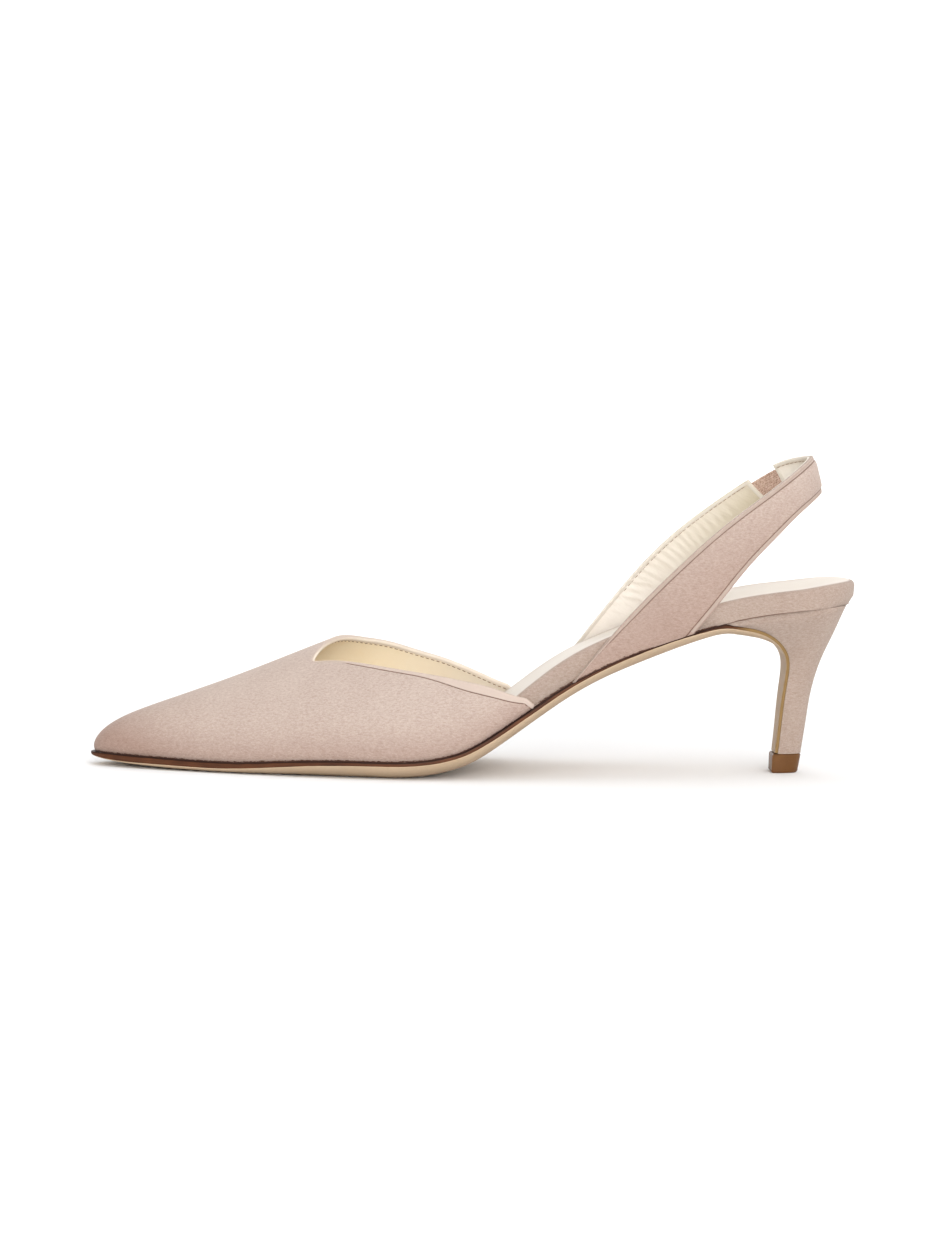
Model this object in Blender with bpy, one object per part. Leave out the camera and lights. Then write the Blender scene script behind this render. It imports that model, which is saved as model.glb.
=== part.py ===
"""A slingback pump for the left foot, modelled piece by piece on one last.

Sizes in this file are millimetres and degrees. A station is the distance along the shoe from
the toe tip, so the toe is at station 0 and the back of the heel seat at LENGTH. In the model
the toe points to -X, the lateral side to -Y, and the shoe stands on the plane z = 0.
"""

import math
from typing import NamedTuple

import bmesh
import bpy
import numpy as np

MM = 0.001
LATERAL, MEDIAL = -1.0, 1.0

# Driving dimensions
LENGTH = 255.0            # toe tip to the back of the heel seat
GAP = 0.3                 # clearance between pieces that lie on each other
VAMP_WALL = 1.8           # suede, stiffener and lining together
VAMP_ROLL = 1.0           # how far the vamp turns in at the feather line
VAMP_ROLL_HEIGHT = 1.5    # height over which it turns in
THROAT_STATION = 74.5     # the point of the V
THROAT_ANGLE = 66.2       # its place on the girth, 0 at the lateral feather and 90 on the crest
WING_ENDS = {LATERAL: 148.5, MEDIAL: 145.0}  # where the low sides of the vamp run out
SOLE_OVERHANG = 0.4       # the sole edge past the upper
SOLE_EDGE = 0.28          # upright share of the sole's thickness, above its bevel
SOLE_JOIN = 203.0         # where it leaves the seat line and turns to the heel breast
FLAP_THICKNESS = 1.2      # the sole where it is glued down the heel breast
FLAP_BEVEL = 0.6
INSOLE_FRONT = 14.0
INSOLE_THIN = 2.4         # inside the vamp
INSOLE_RIM = 5.8          # suede-wrapped edge in the waist and round the heel
INSOLE_CUP = (0.5, 1.2)   # hollow under the forefoot and in the heel seat
INSOLE_EASE = 1.0         # more clearance where the vamp leans in over its edge
RIM_STEP = (114.0, 164.0)   # stations between which the insole grows to its rim
RIM_FREE = (138.0, 150.0)   # stations between which it comes out of the vamp
SOCK_FRONT = 20.0
SOCK_INSET = 1.2
SOCK_THICKNESS = 1.0
STRAP_THICKNESS = 1.8
LOOP_STATION = 195.0      # behind it the strap closes in a half ellipse
LOOP_TOP_END = 240.0      # back of the strap, upper and lower edge
LOOP_BOTTOM_END = 243.8
ELASTIC_THICKNESS = 1.1
ELASTIC_SHARE = (0.12, 0.90)    # of the strap's width, from its upper edge
ELASTIC_SPAN = (0.782, 0.876)   # of the medial strap's length
TOP_PIECE_HEIGHT = 6.5

# Finer shaping
EDGE_ROUND = 0.4          # how far the vamp's top edge stands up, as a share of its wall
WING_SPREAD = 1.3         # above 1 the vamp's rows crowd towards the throat
CUP_STATIONS = (150.0, 225.0)   # the hollow deepens between them
CUP_ENDS = (253.0, 232.0)       # and it runs out towards the back between these
FOOT_FADE = 6             # the higher, the shorter the stretch of strap that follows the sole
BOARD_SHARES = (-0.5, 0.0, 0.5)    # points across a board between its edges

# Worked out from these
RIM_INSET = VAMP_WALL + GAP          # the insole edge inside the lasted outline
SPAN = LENGTH + RIM_INSET            # the lasted outline runs this far back

# Steps for slopes, and mesh settings
STEP = 1e-3               # in sweep angle or heel level
STATION_STEP = 0.2
ANGLE_STEP = 0.01
WELD = 1e-7               # metres
SHARP_ANGLE = 40.0


class Outline(NamedTuple):
    """Half widths of the lasted outline."""

    station: float
    lateral: float
    medial: float


class Seat(NamedTuple):
    """Top of the sole over the floor, and the sole's thickness and bevel there."""

    station: float
    height: float
    thickness: float
    bevel: float


class Girth(NamedTuple):
    """Cross-section of the vamp: its crest, and the fullness of either side."""

    station: float
    crest_height: float
    crest_shift: float
    lateral_fullness: float
    medial_fullness: float


class Topline(NamedTuple):
    """Where the vamp is cut, as an angle round its girth from the lateral feather."""

    station: float
    lateral: float
    medial: float


class Strap(NamedTuple):
    """Heights of the strap's edges, by the share of its length from the sole to the back."""

    share: float
    lateral_top: float
    lateral_bottom: float
    medial_top: float
    medial_bottom: float


class StrapFoot(NamedTuple):
    """Stations between which a strap stands on the sole."""

    front: float
    rear: float


class HeelLevel(NamedTuple):
    """One D-shaped section of the heel, from its breast to its back."""

    front: float
    front_height: float
    back: float
    back_height: float
    half_width: float
    fullness: float


OUTLINE = [
    Outline(0, 0, 0),
    Outline(8, 8.8, 9.3),
    Outline(28, 17.6, 19.2),
    Outline(45, 23.8, 26.0),
    Outline(62, 29.2, 31.4),
    Outline(80, 33.8, 35.4),
    Outline(96, 36.6, 36.9),
    Outline(110, 37.4, 35.4),
    Outline(125, 36.0, 31.6),
    Outline(140, 32.6, 27.8),
    Outline(155, 29.2, 25.4),
    Outline(172, 27.0, 24.6),
    Outline(190, 26.3, 24.9),
    Outline(210, 26.3, 25.6),
    Outline(228, 26.2, 26.0),
    Outline(243, 23.1, 23.1),
    Outline(254, 13.1, 13.1),
    Outline(SPAN, 0, 0),
]

SEAT = [
    Seat(0, 4.8, 2.6, 3.0),
    Seat(12, 4.3, 3.2, 4.0),
    Seat(30, 3.7, 3.4, 6.0),
    Seat(46, 3.6, 3.7, 8.0),
    Seat(60, 4.4, 4.6, 10.0),
    Seat(76, 5.4, 5.6, 12.0),
    Seat(92, 5.6, 5.8, 12.0),
    Seat(106, 5.9, 5.9, 12.0),
    Seat(116, 7.2, 5.6, 12.0),
    Seat(124, 9.6, 5.2, 11.0),
    Seat(133, 14.6, 4.7, 10.0),
    Seat(143, 21.2, 4.3, 9.5),
    Seat(154, 28.6, 4.1, 9.0),
    Seat(166, 35.4, 3.9, 8.5),
    Seat(180, 41.6, 3.8, 8.0),
    Seat(195, 47.0, 3.2, 7.0),
    Seat(210, 51.8, 3.0, 5.0),
    Seat(226, 55.0, 3.0, 5.0),
    Seat(240, 56.6, 3.0, 5.0),
    Seat(SPAN, 57.6, 3.0, 5.0),
]

GIRTHS = [
    Girth(0, 0.0, 0.0, 2.0, 2.1),
    Girth(8, 10.0, 0.6, 2.0, 2.1),
    Girth(28, 18.8, 2.2, 1.85, 2.1),
    Girth(45, 25.0, 4.4, 1.7, 2.1),
    Girth(62, 30.6, 7.0, 1.56, 2.1),
    Girth(75, 35.0, 8.6, 1.5, 2.1),
    Girth(90, 40.5, 9.6, 1.5, 2.1),
    Girth(110, 47.0, 10.0, 1.6, 2.1),
    Girth(130, 51.5, 9.0, 1.7, 2.1),
    Girth(150, 53.0, 8.0, 1.8, 2.1),
]

TOPLINES = [
    Topline(THROAT_STATION, THROAT_ANGLE, THROAT_ANGLE),
    Topline(80, 61.2, 89.0),
    Topline(87, 55.6, 112.0),
    Topline(97, 48.5, 127.0),
    Topline(109, 41.0, 140.3),
    Topline(121, 32.0, 151.8),
    Topline(133, 18.6, 164.6),
    Topline(145, 3.8, 177.6),
    Topline(148.5, 1.5, 180.0),
]

STRAP = [
    Strap(0.2, 52.1, 60.6, 52.0, 59.0),
    Strap(0.4, 67.4, 71.1, 72.3, 72.0),
    Strap(0.6, 81.9, 80.6, 87.0, 82.0),
    Strap(0.8, 94.6, 88.7, 98.6, 90.2),
    Strap(1.0, 107.0, 96.4, 107.0, 96.4),
]

STRAP_FEET = {LATERAL: StrapFoot(159.5, 198.2), MEDIAL: StrapFoot(155.0, 192.0)}

HEEL_SEAT = HeelLevel(213.0, 52.5, 254.2, 57.4, 23.6, 3.2)

HEEL = [
    HeelLevel(213.3, 50.9, 253.2, 56.2, 23.2, 3.1),
    HeelLevel(220.4, 48.9, 251.0, 52.6, 20.4, 2.8),
    HeelLevel(226.9, 45.5, 248.0, 47.4, 15.6, 2.5),
    HeelLevel(231.3, 40.4, 245.0, 41.0, 10.8, 2.3),
    HeelLevel(232.2, 34.4, 242.6, 34.8, 8.0, 2.2),
    HeelLevel(231.5, 26.0, 240.5, 26.4, 6.6, 2.1),
    HeelLevel(230.7, 16.4, 239.0, 16.6, 5.7, 2.1),
    HeelLevel(229.8, TOP_PIECE_HEIGHT + GAP, 237.5, TOP_PIECE_HEIGHT + GAP, 5.0, 2.1),
]

TOP_PIECE = [
    HeelLevel(228.2, TOP_PIECE_HEIGHT, 237.6, TOP_PIECE_HEIGHT, 5.2, 2.3),
    HeelLevel(228.0, 0.0, 236.4, 0.0, 4.9, 2.3),
]



class SoleCorner(NamedTuple):
    """Corner of the sole's section, as shares of its bevel's width and of its thickness."""

    inset: float
    depth: float


class BoardCorner(NamedTuple):
    """Corner of a board's rounded edge: how far inside the edge, and how far below the top."""

    inset: float
    drop: float


SOLE_PROFILE = [
    SoleCorner(0.0, SOLE_EDGE),
    SoleCorner(0.15, 0.68),
    SoleCorner(0.5, 0.93),
    SoleCorner(1.0, 1.0),
]

INSOLE_PROFILE = [BoardCorner(0.0, 1.3), BoardCorner(0.4, 0.4), BoardCorner(1.3, 0.0)]
SOCK_PROFILE = [BoardCorner(0.0, 0.5), BoardCorner(0.5, 0.0)]

COLOURS = {
    "suede": ((0.66, 0.54, 0.46), 0.95),
    "heel_suede": ((0.58, 0.46, 0.39), 0.95),
    "leather": ((0.80, 0.72, 0.62), 0.6),
    "elastic": ((0.52, 0.39, 0.32), 0.9),
    "sole_leather": ((0.46, 0.31, 0.20), 0.5),
    "lift": ((0.19, 0.085, 0.035), 0.45),
}


def station_of(sweep):
    """Station at a sweep angle, which runs from 0 at the toe tip to pi at the back."""
    return SPAN * (1 - math.cos(sweep)) / 2


def sweep_of(station):
    """Sweep angle at a station; both ends of the shoe are round in it."""
    return math.acos(max(-1.0, min(1.0, 1 - 2 * station / SPAN)))


def natural_spline(knots, values):
    """Return the natural cubic spline through the values at the knots."""
    knots, values = np.array(knots, float), np.array(values, float)
    steps = np.diff(knots)
    slopes = np.diff(values, axis=0) / steps[:, None]
    count = len(knots)
    system = np.eye(count)
    right = np.zeros_like(values)
    for k in range(1, count - 1):
        system[k, k - 1 : k + 2] = steps[k - 1], 2 * (steps[k - 1] + steps[k]), steps[k]
        right[k] = 6 * (slopes[k] - slopes[k - 1])
    bends = np.linalg.solve(system, right)

    def at(x):
        k = int(np.clip(np.searchsorted(knots, x) - 1, 0, count - 2))
        b = (x - knots[k]) / steps[k]
        a = 1 - b
        bend = ((a**3 - a) * bends[k] + (b**3 - b) * bends[k + 1]) * steps[k] ** 2 / 6
        return a * values[k] + b * values[k + 1] + bend

    return at


class Table:
    """Smooth curves through the rows of a table of stations."""

    def __init__(self, rows):
        self.kind = type(rows[0])
        self.curve = natural_spline([sweep_of(row[0]) for row in rows], [row[1:] for row in rows])

    def at_sweep(self, sweep):
        return self.kind(station_of(sweep), *self.curve(sweep))

    def at(self, station):
        return self.at_sweep(sweep_of(station))


outline = Table(OUTLINE)
seat = Table(SEAT)
girths = Table(GIRTHS)
toplines = Table(TOPLINES)
heel_levels = natural_spline(range(len(HEEL)), HEEL)


def blend(start, end, share):
    """Value between start and end."""
    return start + (end - start) * share


def smooth_step(start, end, value):
    """Rise from 0 at start to 1 at end, level at both."""
    share = min(1.0, max(0.0, (value - start) / (end - start)))
    return share * share * (3 - 2 * share)


def half_width(sweep, side):
    """Half width of the lasted outline on one side."""
    row = outline.at_sweep(sweep)
    return row.lateral if side == LATERAL else row.medial


def edge_frame(sweep, side):
    """Point of the lasted outline in plan and its outward normal, y counted away from the axis."""
    here = np.array([station_of(sweep), half_width(sweep, side)])
    ahead = np.array([station_of(sweep + STEP), half_width(sweep + STEP, side)])
    behind = np.array([station_of(sweep - STEP), half_width(sweep - STEP, side)])
    along = ahead - behind
    normal = np.array([-along[1], along[0]]) / np.linalg.norm(along)
    return here, normal


def edge_point(sweep, side, inset):
    """Station and y of a point inside the lasted outline."""
    here, normal = edge_frame(sweep, side)
    station, width = here - inset * normal
    return station, side * width


def seat_slope(station):
    """Rise of the seat line along the shoe."""
    return (seat.at(station + 1).height - seat.at(station - 1).height) / 2


def loft(rings, cap_start=False, cap_end=False):
    """Join rings of points by quads; a cap is a strip across the ring from its first point."""
    rings = np.array(rings)
    rows, count = rings.shape[:2]
    faces = []
    for i in range(rows - 1):
        for j in range(count):
            k = (j + 1) % count
            faces.append((i * count + j, i * count + k, (i + 1) * count + k, (i + 1) * count + j))
    for row, wanted in ((0, cap_start), (rows - 1, cap_end)):
        if not wanted:
            continue
        for j in range((count - 1) // 2):
            strip = (j, j + 1, count - 2 - j, count - 1 - j)
            faces.append(tuple(row * count + corner for corner in strip))
    return rings.reshape(-1, 3), faces


def add_piece(name, colour, *lofts):
    """Weld lofts into one closed mesh and put it in the scene."""
    build = bmesh.new()
    for points, faces in lofts:
        corners = [build.verts.new(point * MM) for point in points]
        for face in faces:
            ring = list(dict.fromkeys(corners[corner] for corner in face))
            if len(ring) > 2:
                build.faces.new(ring)
    bmesh.ops.remove_doubles(build, verts=build.verts, dist=WELD)
    bmesh.ops.dissolve_degenerate(build, edges=build.edges, dist=WELD)
    bmesh.ops.recalc_face_normals(build, faces=build.faces)
    mesh = bpy.data.meshes.new(name)
    build.to_mesh(mesh)
    build.free()
    mesh.shade_smooth()
    mesh.set_sharp_from_angle(angle=math.radians(SHARP_ANGLE))
    mesh.materials.append(colour)
    piece = bpy.data.objects.new(name, mesh)
    bpy.context.scene.collection.objects.link(piece)
    return piece


def vamp_point(station, angle):
    """Point on the outside of the lasted vamp; the angle runs from lateral to medial feather."""
    row = girths.at(station)
    side, fullness = LATERAL, row.lateral_fullness
    turn = angle
    if angle > math.pi / 2:
        side, fullness = MEDIAL, row.medial_fullness
        turn = math.pi - angle
    reach = half_width(sweep_of(station), side) - side * row.crest_shift
    y = row.crest_shift + side * reach * max(0.0, math.cos(turn)) ** (2 / fullness)
    rise = row.crest_height * max(0.0, math.sin(turn)) ** (2 / fullness)
    return np.array([station, y, seat_top(station) + rise])


def vamp_normal(station, angle):
    """Outward normal of the vamp."""
    if station <= 0:
        return np.array([-1.0, 0.0, 0.0])
    reach = min(STATION_STEP, station / 2)
    along = vamp_point(station + reach, angle) - vamp_point(station - reach, angle)
    low, high = max(0.0, angle - ANGLE_STEP), min(math.pi, angle + ANGLE_STEP)
    around = vamp_point(station, high) - vamp_point(station, low)
    normal = np.cross(along, around)
    if angle in (0.0, math.pi):
        normal[2] = 0.0
    return normal / np.linalg.norm(normal)


def vamp_walls(station, angle):
    """Outer and inner point of the wall, the outer one turned in at the feather."""
    point = vamp_point(station, angle)
    inner = point - VAMP_WALL * vamp_normal(station, angle)
    side = LATERAL if angle < math.pi / 2 else MEDIAL
    normal = edge_frame(sweep_of(station), side)[1]
    rise = point[2] - seat_top(station)
    turned = VAMP_ROLL * math.exp(-rise / VAMP_ROLL_HEIGHT)
    outer = point - turned * np.array([normal[0], side * normal[1], 0.0])
    return outer, inner


def vamp_half(station, side, top_angle, columns):
    """Outer and inner points of one side, from the feather up to an angle."""
    start = 0.0 if side == LATERAL else math.pi
    angles = [blend(start, top_angle, k / columns) for k in range(columns + 1)]
    walls = [vamp_walls(station, angle) for angle in angles]
    return [wall[0] for wall in walls], [wall[1] for wall in walls]


def vamp_front_ring(station, columns):
    """Closed section ahead of the throat: over the outside and back along the inside."""
    split = math.radians(THROAT_ANGLE)
    out_lateral, in_lateral = vamp_half(station, LATERAL, split, columns)
    out_medial, in_medial = vamp_half(station, MEDIAL, split, columns)
    return out_lateral + out_medial[-2::-1] + in_medial + in_lateral[-2::-1]


def vamp_wing_ring(station, side, columns):
    """Closed section of one side behind the throat, with a rounded top edge."""
    row = toplines.at(station)
    top = math.radians(row.lateral if side == LATERAL else row.medial)
    outside, inside = vamp_half(station, side, top, columns)
    upward = outside[-1] - outside[-2]
    stand = EDGE_ROUND * VAMP_WALL * upward / np.linalg.norm(upward)
    edge = (outside[-1] + inside[-1]) / 2 + stand
    return outside + [edge] + inside[::-1]


def throat_ring(side, columns):
    """First section of a wing; both wings share the edge at the point of the V."""
    split = math.radians(THROAT_ANGLE)
    outside, inside = vamp_half(THROAT_STATION, side, split, columns)
    edge = (outside[-1] + inside[-1]) / 2 + np.array([EDGE_ROUND * VAMP_WALL, 0.0, 0.0])
    return outside + [edge] + inside[::-1]


def make_vamp(colour, front_rows=18, wing_rows=14, columns=10):
    """The upper: one wall, open at the throat, in the waist and underneath."""
    end = sweep_of(THROAT_STATION)
    stations = [station_of(end * k / front_rows) for k in range(front_rows)] + [THROAT_STATION]
    front = loft([vamp_front_ring(station, columns) for station in stations])
    lofts = [front]
    for side in (LATERAL, MEDIAL):
        rings = [throat_ring(side, columns)]
        for k in range(1, wing_rows + 1):
            station = blend(THROAT_STATION, WING_ENDS[side], (k / wing_rows) ** WING_SPREAD)
            rings.append(vamp_wing_ring(station, side, columns))
        lofts.append(loft(rings, cap_end=True))
    return add_piece("vamp", colour, *lofts)


def sole_ring(edge, thickness, bevel):
    """Section of the sole: flat on top, upright edge, rounded bevel and flat tread.

    edge(side, inset) gives a point on the top of the sole and the direction through it.
    """
    upper, lower = [], []
    for side in (LATERAL, MEDIAL):
        tops, bottoms = [], []
        for corner in SOLE_PROFILE:
            point, through = edge(side, corner.inset * bevel)
            bottom = point + through * thickness * corner.depth
            bottom[2] = max(bottom[2], 0.0)
            tops.append(point)
            bottoms.append(bottom)
        upper.append(tops)
        lower.append(bottoms)
    return upper[0] + upper[1][::-1] + lower[1] + lower[0][::-1]


def tread_ring(sweep):
    """Section of the sole under the foot."""
    row = seat.at_sweep(sweep)

    def edge(side, inset):
        station, y = edge_point(sweep, side, inset - SOLE_OVERHANG)
        slope = seat_slope(station)
        through = np.array([slope, 0.0, -1.0]) / math.hypot(slope, 1.0)
        return np.array([station, y, seat.at(station).height]), through

    return sole_ring(edge, row.thickness, row.bevel)


def waist_line(station):
    """Line of the sole in the waist: station, height and half widths."""
    sweep = sweep_of(station)
    widths = [half_width(sweep, side) + SOLE_OVERHANG for side in (LATERAL, MEDIAL)]
    return np.array([station, seat.at(station).height] + widths)


def breast_line(level):
    """Line of the sole in front of a level of the heel, in the same columns."""
    front = HeelLevel(*heel_levels(level))
    along = (heel_levels(level + STEP) - heel_levels(level - STEP))[:2]
    away = np.array([along[1], -along[0]]) / np.linalg.norm(along)
    station, height = np.array([front.front, front.front_height]) + GAP * away
    return np.array([station, height, front.half_width, front.half_width])


def flap_line(place):
    """Line of the sole from the waist at -1 to the heel's top at 0, and then down its breast."""
    if place >= 0:
        return breast_line(place)
    start, end = waist_line(SOLE_JOIN), breast_line(0)
    reach = end[0] - start[0]
    start_pull = (waist_line(SOLE_JOIN + 1) - start) * reach
    end_step = breast_line(STEP) - end
    end_pull = end_step / end_step[0] * reach
    u = place + 1
    weights = (2 * u**3 - 3 * u**2 + 1, u**3 - 2 * u**2 + u, 3 * u**2 - 2 * u**3, u**3 - u**2)
    return sum(w * v for w, v in zip(weights, (start, start_pull, end, end_pull)))


def flap_ring(place):
    """Section of the sole where it turns down and covers the breast."""
    station, height, lateral, medial = flap_line(place)
    ahead = (flap_line(place + STEP) - flap_line(place - STEP))[:2]
    through = np.array([ahead[1], 0.0, -ahead[0]]) / np.linalg.norm(ahead)
    waist = seat.at(SOLE_JOIN)
    share = smooth_step(-1, 1, place)

    def edge(side, inset):
        width = lateral if side == LATERAL else medial
        return np.array([station, side * (width - inset), height]), through

    thickness = blend(waist.thickness, FLAP_THICKNESS, share)
    return sole_ring(edge, thickness, blend(waist.bevel, FLAP_BEVEL, share))


def make_outsole(colour, tread_rows=44, flap_rows=22):
    """Leather sole from the toe to the heel tip, its flap down the breast included."""
    end = sweep_of(SOLE_JOIN)
    rings = [tread_ring(end * k / tread_rows) for k in range(tread_rows + 1)]
    last = len(HEEL) - 1
    for k in range(1, flap_rows + 1):
        rings.append(flap_ring(blend(-1, last, k / flap_rows)))
    return add_piece("outsole", colour, loft(rings, cap_end=True))


def seat_top(station, across=0.0):
    """Height at which pieces stand on the sole, level from side to side."""
    return seat.at(station).height + GAP


def insole_top(station, across):
    """Height of the insole's upper face; across runs from -1 to 1."""
    thickness = blend(INSOLE_THIN, INSOLE_RIM, smooth_step(*RIM_STEP, station))
    rise = thickness * math.hypot(1.0, seat_slope(station))
    cup = blend(*INSOLE_CUP, smooth_step(*CUP_STATIONS, station)) * smooth_step(*CUP_ENDS, station)
    return seat_top(station) + rise - cup * (1 - across * across)


def sock_bottom(station, across):
    """Height of the sock's lower face."""
    return insole_top(station, across) + GAP


def sock_top(station, across):
    """Height of the sock's upper face."""
    return sock_bottom(station, across) + SOCK_THICKNESS


def insole_inset(sweep):
    """How far the insole's edge lies inside the lasted outline."""
    return RIM_INSET + INSOLE_EASE * (1 - smooth_step(*RIM_FREE, station_of(sweep)))


def board_ring(sweep, inset, profile, top, bottom):
    """Section of a board inside the lasted outline, between the heights top and bottom give."""
    edges = []
    for side in (LATERAL, MEDIAL):
        places = [edge_point(sweep, side, inset + corner.inset) for corner in profile]
        edges.append([(place, side, corner.drop) for place, corner in zip(places, profile)])
    left, right = (np.array(edge[-1][0]) for edge in edges)
    middle = [(blend(left, right, (share + 1) / 2), share, 0.0) for share in BOARD_SHARES]
    spots = edges[0] + middle + edges[1][::-1]
    upper = [np.array([*spot, top(spot[0], across) - drop]) for spot, across, drop in spots]
    lower = [np.array([*spot, bottom(spot[0], across)]) for spot, across, drop in spots]
    return upper + lower[::-1]


def make_insole(colour, rows=46):
    """Suede-wrapped board; its rim shows in the waist and round the heel seat."""
    start = sweep_of(INSOLE_FRONT)
    rings = []
    for k in range(rows + 1):
        sweep = blend(start, math.pi, k / rows)
        rings.append(board_ring(sweep, insole_inset(sweep), INSOLE_PROFILE, insole_top, seat_top))
    return add_piece("insole", colour, loft(rings, cap_start=True))


def make_sock(colour, rows=42):
    """Leather sock lining on the insole."""
    start = sweep_of(SOCK_FRONT)
    rings = []
    for k in range(rows + 1):
        sweep = blend(start, math.pi, k / rows)
        inset = insole_inset(sweep) + SOCK_INSET
        rings.append(board_ring(sweep, inset, SOCK_PROFILE, sock_top, sock_bottom))
    return add_piece("sock", colour, loft(rings, cap_start=True))


def d_ring(level, columns):
    """D-shaped ring of a heel section, flat at the breast and round at the back."""
    ring = []
    for k in range(-columns, columns + 1):
        turn = math.pi / 2 * (1 - abs(k) / columns)
        depth = math.sin(turn) ** (2 / level.fullness)
        y = np.sign(k) * level.half_width * math.cos(turn) ** (2 / level.fullness)
        station = blend(level.front, level.back, depth)
        ring.append(np.array([station, y, blend(level.front_height, level.back_height, depth)]))
    return ring


def make_heel(colour, rows=22, columns=12):
    """Covered heel, its top cut to the seat line."""
    top = d_ring(HEEL_SEAT, columns)
    for point in top:
        point[2] = seat.at(point[0]).height
    rings = [top]
    last = len(HEEL) - 1
    for k in range(rows + 1):
        level = HeelLevel(*heel_levels(last * k / rows))
        rings.append(d_ring(level, columns))
    return add_piece("heel", colour, loft(rings, cap_start=True, cap_end=True))


def make_top_piece(colour, columns=10):
    """Heel lift, flat on the floor."""
    rings = [d_ring(level, columns) for level in TOP_PIECE]
    return add_piece("top_piece", colour, loft(rings, cap_start=True, cap_end=True))


def make_strap_heights():
    """Edge heights along the straps, from where each foot stands on the sole."""
    feet = []
    for side in (LATERAL, MEDIAL):
        for station in STRAP_FEET[side]:
            feet.append(seat_top(station))
    rows = [Strap(0.0, *feet)] + STRAP
    return natural_spline([row.share for row in rows], [row[1:] for row in rows])


strap_heights = make_strap_heights()


def strap_point(side, share, across):
    """Point on the outside of a strap, from its upper to its lower edge."""
    foot = STRAP_FEET[side]
    heights = strap_heights(share)
    top, bottom = heights[:2] if side == LATERAL else heights[2:]
    end = blend(LOOP_TOP_END, LOOP_BOTTOM_END, across)
    station = blend(blend(foot.front, foot.rear, across), end, share)
    foot_line = blend(seat.at(foot.front).height, seat.at(foot.rear).height, across)
    lift = seat.at(blend(foot.front, foot.rear, across)).height - foot_line
    height = blend(top, bottom, across) + lift * (1 - share) ** FOOT_FADE
    width = half_width(sweep_of(min(station, LOOP_STATION)), side)
    if station > LOOP_STATION:
        width *= math.sqrt(max(0.0, 1 - ((station - LOOP_STATION) / (end - LOOP_STATION)) ** 2))
    return np.array([station, side * width, height])


def band(grid, outer, inner):
    """Rings of a band that lies between two depths under the grid of the strap's outside."""
    grid = np.array(grid)
    inward = np.cross(np.gradient(grid, axis=0), np.gradient(grid, axis=1))
    inward /= np.linalg.norm(inward, axis=2, keepdims=True)
    if np.sum(inward[..., 1] * grid[..., 1]) > 0:
        inward = -inward
    outside = grid + outer * inward
    inside = grid + inner * inward
    return np.concatenate([outside, inside[:, ::-1]], axis=1)


def strap_grid(side, start, end, rows, columns, edges=(0.0, 1.0)):
    """Rows of points along a strap, closer together towards the back of the heel."""
    first, last = 1 - math.sqrt(1 - start), 1 - math.sqrt(1 - end)
    grid = []
    for k in range(rows + 1):
        share = 1 - (1 - blend(first, last, k / rows)) ** 2
        across = [blend(*edges, j / columns) for j in range(columns + 1)]
        grid.append([strap_point(side, share, place) for place in across])
    return grid


def make_sling_strap(colour, rows=26, end_rows=8, columns=5):
    """Lateral strap and the loop round the back, up to the elastic."""
    lateral = strap_grid(LATERAL, 0.0, 1.0, rows, columns)
    stop = ELASTIC_SPAN[1] + GAP / LENGTH
    medial = strap_grid(MEDIAL, stop, 1.0, end_rows, columns)
    rings = band(lateral + medial[-2::-1], 0.0, STRAP_THICKNESS)
    return add_piece("sling_strap", colour, loft(rings, cap_start=True, cap_end=True))


def make_sling_tab(colour, rows=18, columns=5):
    """Medial strap, from the waist up to the elastic."""
    stop = ELASTIC_SPAN[0] - GAP / LENGTH
    rings = band(strap_grid(MEDIAL, 0.0, stop, rows, columns), 0.0, STRAP_THICKNESS)
    return add_piece("sling_tab", colour, loft(rings, cap_start=True, cap_end=True))


def make_elastic(colour, rows=5, columns=4):
    """Elastic gore between the tab and the strap."""
    grid = strap_grid(MEDIAL, *ELASTIC_SPAN, rows, columns, ELASTIC_SHARE)
    outer = (STRAP_THICKNESS - ELASTIC_THICKNESS) / 2
    rings = band(grid, outer, outer + ELASTIC_THICKNESS)
    return add_piece("strap_elastic", colour, loft(rings, cap_start=True, cap_end=True))


def make_colour(name):
    """Principled material of one kind of surface."""
    colour, roughness = COLOURS[name]
    material = bpy.data.materials.new(name)
    material.use_nodes = True
    shader = material.node_tree.nodes["Principled BSDF"]
    shader.inputs["Base Color"].default_value = (*colour, 1.0)
    shader.inputs["Roughness"].default_value = roughness
    return material


def main():
    """Build the shoe and stand its middle on the origin."""
    for thing in list(bpy.data.objects):
        bpy.data.objects.remove(thing, do_unlink=True)
    colours = {name: make_colour(name) for name in COLOURS}
    pieces = [
        make_vamp(colours["suede"]),
        make_outsole(colours["sole_leather"]),
        make_insole(colours["heel_suede"]),
        make_sock(colours["leather"]),
        make_heel(colours["heel_suede"]),
        make_top_piece(colours["lift"]),
        make_sling_strap(colours["suede"]),
        make_sling_tab(colours["suede"]),
        make_elastic(colours["elastic"]),
    ]
    shoe = bpy.data.objects.new("shoe", None)
    shoe.location.x = -LENGTH / 2 * MM
    bpy.context.scene.collection.objects.link(shoe)
    for piece in pieces:
        piece.parent = shoe


if __name__ == "__main__":
    main()
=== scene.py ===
"""Looks of a slingback pump: suede upper and straps, bound edges, leather lining, sole and heel.

Shapes are worked out in millimetres on the same last as the solids. A station is the distance
along the shoe from the toe tip; the toe points to -X, the lateral side of the left shoe to -Y,
and the shoe stands on z = 0. Finished meshes are in metres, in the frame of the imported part.
"""

import logging
import math
from dataclasses import dataclass
from enum import Enum
from typing import Any, Iterable, NamedTuple, Optional, Sequence, Union

import bmesh
import bpy
import numpy as np
from mathutils import Matrix, Vector


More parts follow.
